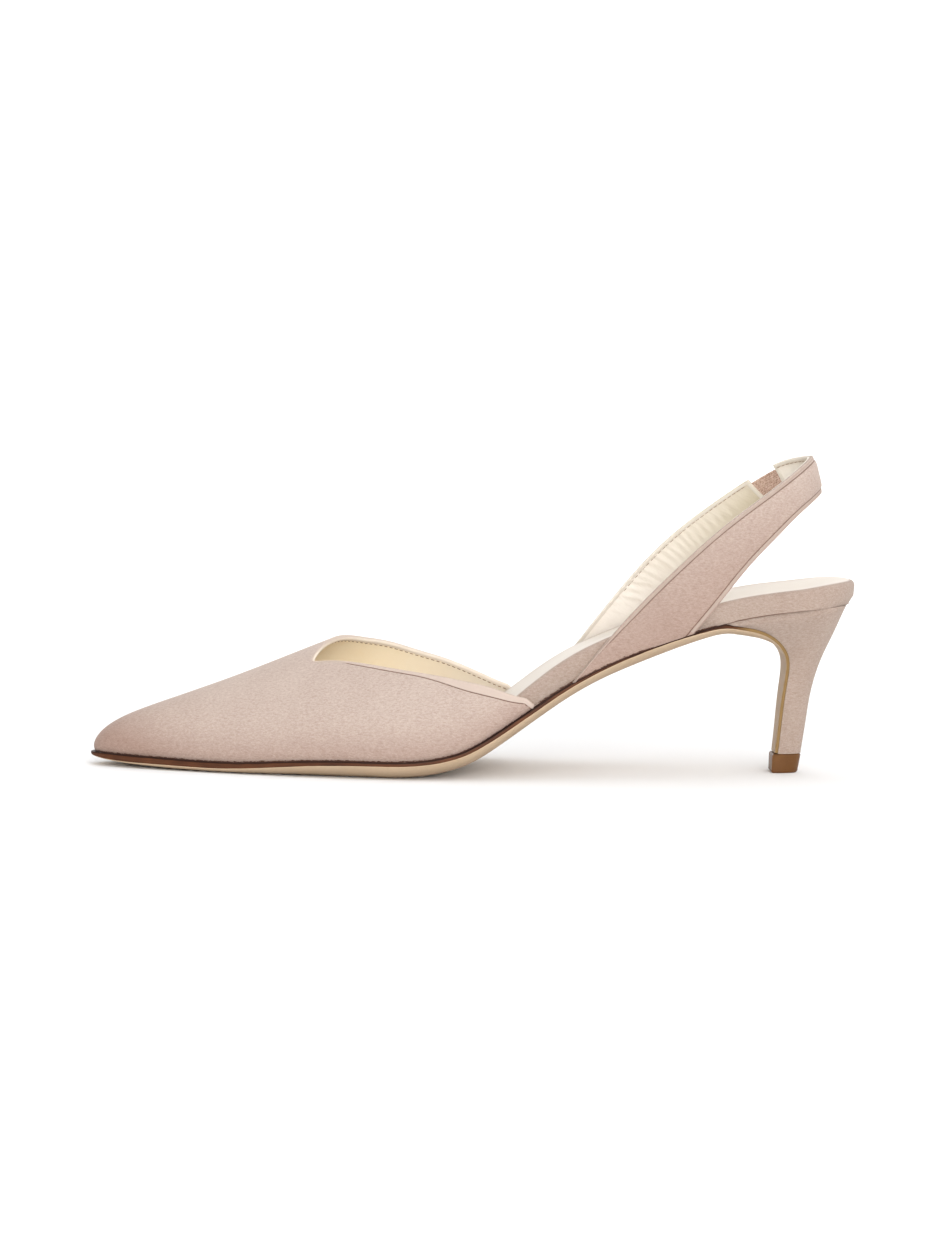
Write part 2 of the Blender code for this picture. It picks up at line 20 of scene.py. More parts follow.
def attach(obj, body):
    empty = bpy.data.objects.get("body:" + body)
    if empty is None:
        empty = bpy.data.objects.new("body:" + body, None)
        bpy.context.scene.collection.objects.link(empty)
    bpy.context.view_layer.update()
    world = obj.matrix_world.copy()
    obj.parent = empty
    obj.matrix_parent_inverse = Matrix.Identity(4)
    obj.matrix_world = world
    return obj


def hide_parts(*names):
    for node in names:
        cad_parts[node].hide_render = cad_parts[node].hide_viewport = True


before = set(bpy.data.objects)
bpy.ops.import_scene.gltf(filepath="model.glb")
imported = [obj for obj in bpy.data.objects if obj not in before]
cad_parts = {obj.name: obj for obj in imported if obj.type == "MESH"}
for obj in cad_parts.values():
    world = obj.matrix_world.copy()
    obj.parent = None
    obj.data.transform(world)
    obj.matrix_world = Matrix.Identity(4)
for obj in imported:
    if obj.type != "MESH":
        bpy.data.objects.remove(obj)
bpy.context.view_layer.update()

BODY = "root"
MM = 0.001
log = logging.getLogger("pump")

Array = np.ndarray
Colour = tuple[float, float, float]


class Side(Enum):
    """Side of the left shoe; the value is the sign of y there."""

    LATERAL = -1
    MEDIAL = 1


# Driving dimensions of the last and of what is built on it
LENGTH = 255.0
GAP = 0.3
CONTACT = 0.05            # dressed pieces close down to this over the sole
VAMP_WALL = 1.8
VAMP_ROLL = 1.0
VAMP_ROLL_HEIGHT = 1.5
THROAT_STATION = 73.4
THROAT_ANGLE = 66.2
THROAT_ROUND = 6.0        # degrees of girth
THROAT_REACH = 5.0
THROAT_LEAN = 0.42        # share of the rounding that is cut from the lateral side
WING_ENDS = {Side.LATERAL: 148.5, Side.MEDIAL: 145.0}
WING_TUCK = (5.0, 1.0)    # where a wing is drawn down to the sole, before its end
WING_DROP = 0.85          # share of its height that it loses there
BINDING_ENDS = {Side.LATERAL: 0.45, Side.MEDIAL: 1.3}    # height over the sole
SOLE_OVERHANG = 0.4
SOLE_JOIN = 203.0
FLAP_THICKNESS = 1.2
FLAP_BEVEL = 0.6
INSOLE_FRONT = 14.0
INSOLE_THIN = 2.4
INSOLE_RIM = 5.8
INSOLE_CUP = (0.5, 1.2)
INSOLE_EASE = 1.0
RIM_STEP = (114.0, 164.0)
RIM_FREE = (138.0, 150.0)
CUP_STATIONS = (150.0, 225.0)
CUP_ENDS = (253.0, 232.0)
SOCK_FRONT = 20.0
STRAP_WALL = 1.8
LOOP_STATION = 195.0
LOOP_TOP_END = 240.8
LOOP_BOTTOM_END = 244.0
FOOT_FADE = 6
ELASTIC_SHARE = (0.12, 0.90)
ELASTIC_SPAN = (0.780, 0.868)
TOP_PIECE_HEIGHT = 6.5

RIM_INSET = VAMP_WALL + GAP
SPAN = LENGTH + RIM_INSET
STEP = 1e-3               # for slopes, in sweep angle or heel level
GIRTH_STEP = 10 * STEP    # the same round the girth
LAYER_GAP = 0.02          # between suede and lining
SEAM_REACH = 2.0          # distance at which the field seam_near has fallen to 0
SOLE_REACH = 4.0          # the same for sole_near
FAR = 9.0                 # distance from a seam that shows none of it
SEAM_PALE = 0.1           # loss of the seam over the heel, between the stations below
SEAM_PALE_STATIONS = (222.0, 246.0)


class Outline(NamedTuple):
    """Half widths of the lasted outline."""

    station: float
    lateral: float
    medial: float


class Seat(NamedTuple):
    """Top of the sole over the floor, and the sole's thickness, bevel and dark edge there."""

    station: float
    height: float
    thickness: float
    bevel: float
    dark: float


class Girth(NamedTuple):
    """Cross-section of the vamp: its crest, and the fullness of either side."""

    station: float
    crest_height: float
    crest_shift: float
    lateral_fullness: float
    medial_fullness: float


class Topline(NamedTuple):
    """Where the vamp is cut, as an angle round its girth from the lateral feather."""

    station: float
    lateral: float
    medial: float


class StrapEdge(NamedTuple):
    """Heights of the strap's edges, by the share of its length from the sole to the back."""

    share: float
    lateral_top: float
    lateral_bottom: float
    medial_top: float
    medial_bottom: float


class StrapFoot(NamedTuple):
    """Stations between which a strap stands on the sole."""

    front: float
    rear: float


class HeelLevel(NamedTuple):
    """One D-shaped section of the heel, from its breast to its back."""

    front: float
    front_height: float
    back: float
    back_height: float
    half_width: float
    fullness: float


class Wrinkle(NamedTuple):
    """Soft fold across the strap lining, seen from the side; slant in degrees."""

    station: float
    height: float
    slant: float
    reach: float
    depth: float


class Pleat(NamedTuple):
    """Short upright fold where the suede is drawn in under the low side."""

    station: float
    width: float
    depth: float
    height: float


OUTLINE = [Outline(*row) for row in (
    (0, 0, 0), (8, 8.8, 9.3), (28, 17.6, 19.2), (45, 23.8, 26.0), (62, 29.2, 31.4), (80, 33.8, 35.4),
    (96, 36.6, 36.9), (110, 37.4, 35.4), (125, 36.0, 31.6), (140, 32.6, 27.8), (155, 29.2, 25.4),
    (172, 27.0, 24.6), (190, 26.3, 24.9), (210, 26.3, 25.6), (228, 26.2, 26.0), (243, 23.1, 23.1),
    (254, 13.1, 13.1), (SPAN, 0, 0),
)]

SEAT = [Seat(*row) for row in (
    (0, 4.45, 0.7, 2.0, 0.6), (4, 4.35, 2.0, 3.2, 1.6), (12, 4.15, 2.85, 4.0, 2.0),
    (30, 3.7, 3.4, 6.0, 1.95), (46, 3.6, 3.7, 8.0, 1.8), (60, 4.4, 4.6, 10.0, 1.6),
    (76, 5.4, 5.6, 12.0, 1.35), (92, 5.6, 5.8, 12.0, 1.15), (106, 5.9, 5.9, 12.0, 1.2),
    (116, 7.2, 5.6, 12.0, 1.2), (124, 9.6, 5.2, 11.0, 1.2), (133, 14.6, 4.7, 10.0, 1.2),
    (143, 21.2, 4.3, 9.5, 1.2), (154, 28.6, 4.1, 9.0, 1.1), (166, 35.4, 3.9, 8.5, 0.85),
    (180, 41.6, 3.8, 8.0, 0.55), (195, 47.0, 3.2, 7.0, 0.3), (210, 51.8, 3.0, 5.0, 0.9),
    (226, 55.0, 3.0, 5.0, 0.9), (240, 56.6, 3.0, 5.0, 0.9), (SPAN, 57.6, 3.0, 5.0, 0.9),
)]

GIRTHS = [Girth(*row) for row in (
    (0, 0.0, 0.0, 2.0, 2.1), (8, 10.3, 0.6, 2.0, 2.1), (28, 18.8, 2.2, 1.85, 2.1),
    (45, 25.0, 4.4, 1.7, 2.1), (62, 30.6, 7.0, 1.56, 2.1), (75, 35.0, 8.6, 1.5, 2.1),
    (90, 40.5, 9.6, 1.5, 2.1), (110, 47.0, 10.0, 1.6, 2.1), (130, 51.5, 9.0, 1.7, 2.1),
    (150, 53.0, 8.0, 1.8, 2.1),
)]

TOPLINES = [Topline(*row) for row in (
    (THROAT_STATION, THROAT_ANGLE, THROAT_ANGLE), (80, 61.0, 91.5), (87, 55.6, 112.0),
    (97, 48.5, 127.0), (109, 41.0, 140.3), (121, 32.4, 151.8), (133, 20.0, 166.2), (145, 5.4, 178.2),
    (148.5, 2.6, 180.0),
)]

STRAP_EDGES = [StrapEdge(*row) for row in (
    (0.2, 51.8, 59.5, 52.0, 59.0), (0.4, 68.8, 70.6, 72.3, 72.0), (0.6, 83.6, 79.9, 87.0, 82.0),
    (0.8, 95.5, 88.2, 99.4, 90.0), (0.9, 101.2, 91.6, 104.4, 92.7), (1.0, 107.0, 94.9, 107.0, 94.9),
)]

STRAP_FEET = {Side.LATERAL: StrapFoot(159.5, 199.0), Side.MEDIAL: StrapFoot(155.0, 192.0)}

HEEL_SEAT = HeelLevel(207.5, 51.0, 252.2, 57.4, 23.4, 3.2)

HEEL = [HeelLevel(*row) for row in (
    (213.3, 50.9, 251.6, 56.2, 23.2, 3.1), (220.8, 49.5, 250.2, 52.6, 20.4, 2.8),
    (227.5, 46.2, 248.2, 47.4, 15.6, 2.5), (232.0, 40.9, 245.4, 41.0, 10.8, 2.3),
    (232.9, 34.5, 243.1, 34.8, 8.0, 2.2), (231.9, 26.0, 241.0, 26.4, 6.6, 2.1),
    (231.0, 16.4, 239.6, 16.6, 5.7, 2.1),
    (230.1, TOP_PIECE_HEIGHT + GAP, 238.2, TOP_PIECE_HEIGHT + GAP, 5.0, 2.1),
)]

HEEL_END = len(HEEL) - 1

TOP_PIECE = [
    HeelLevel(228.2, TOP_PIECE_HEIGHT, 238.3, TOP_PIECE_HEIGHT, 5.2, 2.3),
    HeelLevel(228.0, 0.0, 237.2, 0.0, 4.9, 2.3),
]

STRAP_WRINKLES = [Wrinkle(*row) for row in (
    (172.6, 51.0, -4, 2.4, 0.10), (176.4, 53.7, -5, 2.8, 0.14), (180.3, 55.6, -11, 3.3, 0.20),
    (182.0, 58.2, -12, 3.5, 0.24), (185.0, 60.5, -12, 4.6, 0.28), (185.2, 62.5, -26, 2.4, 0.20),
    (188.6, 63.5, -29, 4.2, 0.30), (189.3, 66.8, -24, 3.2, 0.24), (192.0, 67.8, -36, 4.0, 0.30),
    (194.2, 70.3, -32, 3.5, 0.26), (195.7, 71.9, -38, 3.8, 0.30), (197.9, 73.9, -41, 3.6, 0.26),
    (199.6, 75.4, -44, 3.4, 0.28), (201.6, 76.7, -47, 3.6, 0.24), (203.8, 78.2, -50, 3.4, 0.22),
    (206.0, 79.7, -47, 3.6, 0.20), (208.0, 81.5, -51, 3.0, 0.16), (210.4, 83.3, -48, 3.0, 0.14),
    (212.9, 84.5, -51, 3.0, 0.12), (215.6, 86.6, -48, 2.6, 0.10),
)]

FEATHER_PLEATS = [Pleat(*row) for row in (
    (127.5, 0.9, 0.12, 1.6), (131.0, 0.8, 0.16, 1.8), (134.0, 0.8, 0.20, 2.2), (136.8, 0.7, 0.20, 2.0),
    (139.5, 0.7, 0.20, 1.8), (142.2, 0.6, 0.16, 1.4),
)]


def blend(start: Any, end: Any, share: Any) -> Any:
    """Value between start, at share 0, and end, at share 1."""
    return start + (end - start) * share


def smooth_step(start: float, end: float, value: Any) -> Array:
    """Rise from 0, where the value is start, to 1 at end, level at both."""
    share = np.clip((np.asarray(value, float) - start) / (end - start), 0.0, 1.0)
    return share * share * (3 - 2 * share)


def plateau(bounds: tuple[float, float, float, float], value: Any) -> Array:
    """Rise from 0 to 1 between the first two bounds and fall back between the last two."""
    start, full_start, full_end, end = bounds
    return smooth_step(start, full_start, value) * smooth_step(end, full_end, value)


def bell(value: Any, width: float) -> Array:
    """Bell curve, 1 at 0 and low beyond the width."""
    return np.exp(-((value / width) ** 2))


def nearness(distance: Array, reach: float) -> Array:
    """Number that falls evenly from 1 at distance 0 to 0 at the reach."""
    return np.clip(1 - distance / reach, 0.0, 1.0)


def unit(vectors: Array) -> Array:
    """Vectors at length 1."""
    return vectors / np.maximum(np.linalg.norm(vectors, axis=-1, keepdims=True), 1e-12)


def station_of(sweep: Any) -> Array:
    """Station at a sweep angle, which runs from 0 at the toe tip to pi at the back."""
    return SPAN * (1 - np.cos(sweep)) / 2


def sweep_of(station: Any) -> Array:
    """Sweep angle at a station; both ends of the shoe are round in it."""
    return np.arccos(np.clip(1 - 2 * np.asarray(station, float) / SPAN, -1.0, 1.0))


def lengths_along(points: Array) -> Array:
    """Running length along rows of points, in the same units."""
    steps = np.linalg.norm(np.diff(points, axis=-2), axis=-1)
    start = np.zeros(steps.shape[:-1] + (1,))
    return np.concatenate([start, np.cumsum(steps, axis=-1)], axis=-1)


def wall_rings(outer: Array, inner: Array) -> Array:
    """Rings round a wall: the points of its outer face, then those of its inner face back again."""
    return np.concatenate([outer, inner[:, ::-1]], axis=1)


def resample(places: Array, run: Array, rows: Array) -> Array:
    """Points or directions read at other places along their run."""
    return np.stack([np.interp(places, run, rows[:, axis]) for axis in range(3)], axis=-1)


class Spline:
    """Natural cubic spline through rows of values."""

    def __init__(self, knots: Iterable[float], rows: Iterable[Sequence[float]]) -> None:
        """Solve for the bends.

        Args:
            knots: Rising places of the rows.
            rows: Values at each knot.
        """
        self.knots = np.array(list(knots), float)
        self.values = np.array([list(row) for row in rows], float)
        self.steps = np.diff(self.knots)
        slopes = np.diff(self.values, axis=0) / self.steps[:, None]
        count = len(self.knots)
        system = np.eye(count)
        right = np.zeros_like(self.values)
        for k in range(1, count - 1):
            before, after = self.steps[k - 1], self.steps[k]
            system[k, k - 1 : k + 2] = before, 2 * (before + after), after
            right[k] = 6 * (slopes[k] - slopes[k - 1])
        self.bends = np.linalg.solve(system, right)

    def __call__(self, place: Any) -> Array:
        """Read the spline.

        Args:
            place: Number or array of places.

        Returns:
            Array with one more axis, the columns of the rows.
        """
        place = np.asarray(place, float)
        k = np.clip(np.searchsorted(self.knots, place) - 1, 0, len(self.knots) - 2)
        step = self.steps[k][..., None]
        b = (place - self.knots[k])[..., None] / step
        a = 1 - b
        bend = ((a**3 - a) * self.bends[k] + (b**3 - b) * self.bends[k + 1]) * step**2 / 6
        return a * self.values[k] + b * self.values[k + 1] + bend


def by_station(rows: Sequence[Any]) -> Spline:
    """Spline over sweep angle through a table whose first column is a station."""
    return Spline([float(sweep_of(row[0])) for row in rows], [row[1:] for row in rows])


class Last:
    """The form that the shoe is built on."""

    def __init__(self) -> None:
        """Fit splines to the tables."""
        self.outline = by_station(OUTLINE)
        self.seat_line = by_station(SEAT)
        self.girths = by_station(GIRTHS)
        self.toplines = by_station(TOPLINES)

    def half_width(self, sweep: Any, side: Side) -> Array:
        """Half width of the lasted outline on one side."""
        return self.outline(sweep)[..., 0 if side is Side.LATERAL else 1]

    def seat(self, station: Any) -> Array:
        """Height, thickness, bevel and dark edge of the sole, in the last axis."""
        return self.seat_line(sweep_of(station))

    def height(self, station: Any) -> Array:
        """Top of the sole over the floor."""
        return self.seat(station)[..., 0]

    def slope(self, station: Any) -> Array:
        """Rise of the seat line along the shoe."""
        station = np.asarray(station, float)
        return (self.height(station + 1) - self.height(station - 1)) / 2

    def plan(self, sweep: Array, side: Side) -> Array:
        """Point of the outline in plan, y counted away from the axis."""
        return np.stack([station_of(sweep), self.half_width(sweep, side)], axis=-1)

    def edge_normal(self, sweep: Any, side: Side) -> Array:
        """Outward normal of the outline in plan."""
        sweep = np.asarray(sweep, float)
        along = self.plan(sweep + STEP, side) - self.plan(sweep - STEP, side)
        return unit(np.stack([-along[..., 1], along[..., 0]], axis=-1))

    def edge(self, sweep: Any, side: Side, inset: Any) -> tuple[Array, Array]:
        """Point inside the lasted outline.

        Args:
            sweep: Sweep angle of the point on the outline.
            side: Side of the shoe.
            inset: How far inside.

        Returns:
            Station and y.
        """
        sweep = np.asarray(sweep, float)
        point = self.plan(sweep, side) - np.asarray(inset)[..., None] * self.edge_normal(sweep, side)
        return point[..., 0], side.value * point[..., 1]

    def vamp(self, sweep: Any, angle: Any) -> Array:
        """Point on the outside of the lasted vamp.

        Args:
            sweep: Sweep angle along the shoe.
            angle: Angle round the girth in radians, from the lateral to the medial feather.

        Returns:
            Points with the broadcast shape of the two.
        """
        sweep, angle = np.broadcast_arrays(np.asarray(sweep, float), np.asarray(angle, float))
        crest, shift, lateral, medial = np.moveaxis(self.girths(sweep), -1, 0)
        near = angle <= np.pi / 2
        side = np.where(near, -1.0, 1.0)
        power = 2 / np.where(near, lateral, medial)
        turn = np.where(near, angle, np.pi - angle)
        width = np.where(near, self.half_width(sweep, Side.LATERAL), self.half_width(sweep, Side.MEDIAL))
        y = shift + side * (width - side * shift) * np.clip(np.cos(turn), 0.0, None) ** power
        station = station_of(sweep)
        rise = crest * np.clip(np.sin(turn), 0.0, None) ** power
        return np.stack([station, y, self.height(station) + GAP + rise], axis=-1)

    def vamp_normal(self, sweep: Any, angle: Any) -> Array:
        """Outward normal of the vamp, of the same shape as its points."""
        sweep, angle = np.broadcast_arrays(np.asarray(sweep, float), np.asarray(angle, float))
        along = self.vamp(sweep + STEP, angle) - self.vamp(sweep - STEP, angle)
        high = np.minimum(angle + GIRTH_STEP, np.pi)
        low = np.maximum(angle - GIRTH_STEP, 0.0)
        around = self.vamp(sweep, high) - self.vamp(sweep, low)
        normal = np.cross(along, around)
        feather = (angle <= 0) | (angle >= np.pi)
        normal[..., 2] = np.where(feather, 0.0, normal[..., 2])
        tip = (sweep < 2 * STEP)[..., None]
        return np.where(tip, np.array([-1.0, 0.0, 0.0]), unit(normal))

    def cut(self, sweep: Any, side: Side) -> Array:
        """Angle at which the vamp is cut, round at the throat and drawn down at the wing's end.

        Args:
            sweep: Sweep angles behind the throat.
            side: Side of the shoe.

        Returns:
            Angles round the girth, in radians.
        """
        lateral, medial = np.moveaxis(self.toplines(sweep), -1, 0)
        spread = np.maximum(medial - lateral, 0.0)
        station = station_of(sweep)
        fade = np.exp(-np.maximum(station - THROAT_STATION, 0.0) / THROAT_REACH)
        extra = (np.sqrt(spread**2 + 2 * THROAT_ROUND * spread) - spread) * fade
        end = WING_ENDS[side]
        tuck = 1 - WING_DROP * smooth_step(end - WING_TUCK[0], end - WING_TUCK[1], station)
        if side is Side.LATERAL:
            return np.radians(np.maximum(lateral - THROAT_LEAN * extra, 0.0) * tuck)
        rest = np.maximum(180 - medial - (1 - THROAT_LEAN) * extra, 0.0)
        return np.radians(180 - rest * tuck)

    def vamp_wall(self, sweep: Array, angle: Array, depth: Union[Array, float]) -> Array:
        """Point inside the vamp's wall, drawn in at the feather and closed down to the sole.

        Args:
            sweep: Sweep angles.
            angle: Angles round the girth.
            depth: Depth under the outside, one number or one for each point.

        Returns:
            Points of the wall.
        """
        sweep, angle = np.broadcast_arrays(np.asarray(sweep, float), np.asarray(angle, float))
        point = self.vamp(sweep, angle)
        rise = point[..., 2] - self.height(point[..., 0]) - GAP
        lateral = self.edge_normal(sweep, Side.LATERAL) * np.array([1.0, Side.LATERAL.value])
        medial = self.edge_normal(sweep, Side.MEDIAL) * np.array([1.0, Side.MEDIAL.value])
        normal = np.where((angle <= np.pi / 2)[..., None], lateral, medial)
        roll = VAMP_ROLL * np.exp(-rise / VAMP_ROLL_HEIGHT) * (1 - depth / VAMP_WALL)
        wall = point - np.asarray(depth)[..., None] * self.vamp_normal(sweep, angle)
        wall[..., :2] -= roll[..., None] * normal
        wall[..., 2] -= (GAP - CONTACT) * np.exp(-rise)
        return wall

    def insole_top(self, station: Array, across: Any) -> Array:
        """Height of the insole's upper face; across runs from -1 to 1."""
        thickness = blend(INSOLE_THIN, INSOLE_RIM, smooth_step(*RIM_STEP, station))
        rise = thickness * np.hypot(1.0, self.slope(station))
        cup = blend(*INSOLE_CUP, smooth_step(*CUP_STATIONS, station)) * smooth_step(*CUP_ENDS, station)
        return self.height(station) + GAP + rise - cup * (1 - np.asarray(across) ** 2)


LAST = Last()
HEEL_LEVELS = Spline(range(len(HEEL)), HEEL)


class MeshMaker:
    """Collects tubes of points, in millimetres, and joins them into one object."""

    WELD = 2e-6

    def __init__(self, name: str) -> None:
        """Start an empty piece.

        Args:
            name: Name of the object.
        """
        self.name = name
        self.points: list[Array] = []
        self.faces: list[Array] = []
        self.fields: dict[str, list[tuple[int, Array]]] = {}
        self.count = 0

    def add(self, rings: Array, caps: tuple[bool, bool] = (False, False), **fields: Array) -> "MeshMaker":
        """Add a tube of rows of points; the last point of a row joins its first.

        Args:
            rings: Array of rows, columns and 3.
            caps: Whether strips close the first and the last row.
            fields: Named numbers for each point, stored as attributes.

        Returns:
            The maker itself.
        """
        rows, columns = rings.shape[:2]
        index = np.arange(rows * columns).reshape(rows, columns) + self.count
        beside = np.roll(index, -1, axis=1)
        quads = np.stack([index[:-1], beside[:-1], beside[1:], index[1:]], axis=-1)
        self.faces.append(quads.reshape(-1, 4))
        pair = np.arange((columns - 1) // 2)
        strip = np.stack([pair, pair + 1, columns - 2 - pair, columns - 1 - pair], axis=-1)
        for row, wanted in zip((0, -1), caps):
            if wanted:
                self.faces.append(index[row][strip])
        for name, values in fields.items():
            numbers = np.broadcast_to(values, (rows, columns)).ravel()
            self.fields.setdefault(name, []).append((self.count, numbers))
        self.points.append(rings.reshape(-1, 3))
        self.count += rows * columns
        return self

    def build(self, sharp: float = 50.0) -> bpy.types.Object:
        """Weld the tubes and make the object.

        Args:
            sharp: Edges bent by more than this many degrees stay sharp.

        Returns:
            The new object, in the scene.
        """
        points = (np.concatenate(self.points) - np.array([LENGTH / 2, 0.0, 0.0])) * MM
        mesh = bpy.data.meshes.new(self.name)
        mesh.from_pydata(points.tolist(), [], np.concatenate(self.faces).tolist())
        for name, parts in self.fields.items():
            numbers = np.zeros(self.count, np.float32)
            for start, values in parts:
                numbers[start : start + len(values)] = values
            mesh.attributes.new(name, "FLOAT", "POINT").data.foreach_set("value", numbers)
        shape = bmesh.new()
        shape.from_mesh(mesh)
        bmesh.ops.remove_doubles(shape, verts=shape.verts, dist=self.WELD)
        bmesh.ops.dissolve_degenerate(shape, edges=shape.edges, dist=self.WELD)
        bmesh.ops.recalc_face_normals(shape, faces=shape.faces)
        shape.to_mesh(mesh)
        shape.free()
        mesh.shade_smooth()
        mesh.set_sharp_from_angle(angle=math.radians(sharp))
        piece = bpy.data.objects.new(self.name, mesh)
        bpy.context.scene.collection.objects.link(piece)
        return piece


class Link:
    """A shader socket with arithmetic; each operation adds a Math node."""

    def __init__(self, shader: "Shader", socket: bpy.types.NodeSocket) -> None:
        """Wrap a socket of a shader's tree."""
        self.shader = shader
        self.socket = socket

    def math(self, operation: str, *values: "Number") -> "Link":
        """Result of a Math node, by Blender's name of the operation."""
        made = self.shader.node("ShaderNodeMath", {"operation": operation}, dict(enumerate(values)))
        return Link(self.shader, made.outputs[0])

    def __add__(self, other: "Number") -> "Link":
        """Sum."""
        return self.math("ADD", self, other)

    __radd__ = __add__

    def __mul__(self, other: "Number") -> "Link":
        """Product."""
        return self.math("MULTIPLY", self, other)

    __rmul__ = __mul__

    def __sub__(self, other: "Number") -> "Link":
        """Difference."""
        return self.math("SUBTRACT", self, other)

    def __rsub__(self, other: "Number") -> "Link":
        """Difference the other way round."""
        return self.math("SUBTRACT", other, self)

    def ramp(self, start: float, end: float) -> "Link":
        """Smooth rise from 0 at start to 1 at end, which may be lower than start."""
        made = self.shader.node(
            "ShaderNodeMapRange",
            {"interpolation_type": "SMOOTHSTEP", "clamp": True},
            {"Value": self, "From Min": start, "From Max": end},
        )
        return Link(self.shader, made.outputs["Result"])


Number = Union[Link, float]
Inputs = dict[Union[str, int], Any]


class Shader:
    """Node tree of one material."""

    def __init__(self, name: str) -> None:
        """Make a material with an empty Principled shader.

        Args:
            name: Name of the material.
        """
        self.material = bpy.data.materials.new(name)
        self.material.use_nodes = True
        self.tree = self.material.node_tree
        self.surface = self.tree.nodes["Principled BSDF"]
        place = self.node("ShaderNodeTexCoord")
        self.place = Link(self, place.outputs["Object"])

    def node(self, kind: str, settings: Optional[dict[str, Any]] = None,
             inputs: Optional[Inputs] = None) -> bpy.types.Node:
        """Add any node.

        Args:
            kind: Blender's type name.
            settings: Properties, set first.
            inputs: Values or links by socket name or number.

        Returns:
            The node.
        """
        made = self.tree.nodes.new(kind)
        for key, value in (settings or {}).items():
            setattr(made, key, value)
        self.feed(made, inputs or {})
        return made

    def feed(self, made: bpy.types.Node, inputs: Inputs) -> None:
        """Set or link a node's sockets.

        Args:
            made: The node.
            inputs: Values or links by socket name or number.
        """
        for key, value in inputs.items():
            if isinstance(value, Link):
                self.tree.links.new(value.socket, made.inputs[key])
            else:
                made.inputs[key].default_value = value

    def field(self, name: str) -> Link:
        """Number stored on the mesh under that name."""
        made = self.node("ShaderNodeAttribute", {"attribute_name": name})
        return Link(self, made.outputs["Fac"])

    def stretched(self, scale: tuple[float, float, float]) -> Link:
        """Place on the piece, stretched by factors along X, Y and Z."""
        made = self.node("ShaderNodeVectorMath", {"operation": "MULTIPLY"}, {0: self.place, 1: scale})
        return Link(self, made.outputs[0])

    def slanted(self, degrees: float, stretch: float) -> Link:
        """Place on the piece, turned about Y and drawn out along its new X and Y.

        Args:
            degrees: Angle by which X dips.
            stretch: How far it is drawn out.

        Returns:
            The turned vector.
        """
        turn = (0.0, math.radians(degrees), 0.0)
        inputs = {"Vector": self.place, "Rotation": turn, "Scale": (stretch, stretch, 1.0)}
        made = self.node("ShaderNodeMapping", {"vector_type": "TEXTURE"}, inputs)
        return Link(self, made.outputs["Vector"])

    def noise(self, per_metre: float, detail: float, place: Optional[Link] = None,
              roughness: float = 0.5) -> Link:
        """Cloudy noise around 0.5.

        Args:
            per_metre: Blobs per metre.
            detail: Finer octaves.
            place: Where it is read, the piece's own place by default.
            roughness: Weight of the finer octaves.

        Returns:
            Number around 0.5.
        """
        inputs = {"Vector": place or self.place, "Scale": per_metre, "Detail": detail, "Roughness": roughness}
        made = self.node("ShaderNodeTexNoise", {}, inputs)
        return Link(self, made.outputs["Fac"])

    def cells(self, per_metre: float) -> Link:
        """Distance to the nearest of many scattered points, in cells."""
        made = self.node("ShaderNodeTexVoronoi", {}, {"Vector": self.place, "Scale": per_metre})
        return Link(self, made.outputs["Distance"])

    def vary(self, middle: Number, *parts: tuple[Link, float]) -> Link:
        """Value with weighted noises around it.

        Args:
            middle: The value where every noise is 0.5.
            parts: Noises and their weights.

        Returns:
            The varied value.
        """
        for noise, weight in parts:
            middle = middle + weight * (noise - 0.5)
        return middle

    def mix(self, first: Union[Link, Colour], second: Union[Link, Colour], share: Link) -> Link:
        """Colour between two.

        Args:
            first: Colour at share 0.
            second: Colour at share 1.
            share: Mixing number.

        Returns:
            The mixed colour.
        """
        made = self.node("ShaderNodeMix", {"data_type": "RGBA", "clamp_factor": True})
        inputs = {"Factor_Float": share, "A_Color": first, "B_Color": second}
        for socket in made.inputs:
            value = inputs.get(socket.identifier)
            if isinstance(value, Link):
                self.tree.links.new(value.socket, socket)
            elif value is not None:
                socket.default_value = full(value)
        colour = next(s for s in made.outputs if s.identifier == "Result_Color")
        return Link(self, colour)

    def bump(self, height: Link, depth: float, strength: float) -> None:
        """Relief on the surface.

        Args:
            height: Height from 0 to 1.
            depth: What 1 stands for, in metres.
            strength: Share of it that is used.
        """
        made = self.node("ShaderNodeBump", {}, {"Height": height, "Distance": depth, "Strength": strength})
        self.feed(self.surface, {"Normal": Link(self, made.outputs["Normal"])})

    def finish(self, inputs: Inputs) -> bpy.types.Material:
        """Feed the Principled shader and hand over the material."""
        self.feed(self.surface, inputs)
        return self.material


def tint(red: int, green: int, blue: int) -> Colour:
    """Linear colour of an sRGB one given in 0 to 255."""
    shares = [value / 255 for value in (red, green, blue)]
    return tuple(s / 12.92 if s <= 0.04045 else ((s + 0.055) / 1.055) ** 2.4 for s in shares)


def full(colour: Colour) -> tuple[float, float, float, float]:
    """Colour with alpha 1."""
    return (*colour, 1.0)


# Finishes: scales of noises are per metre, reliefs in metres, and a band says where something
# begins and where it is full

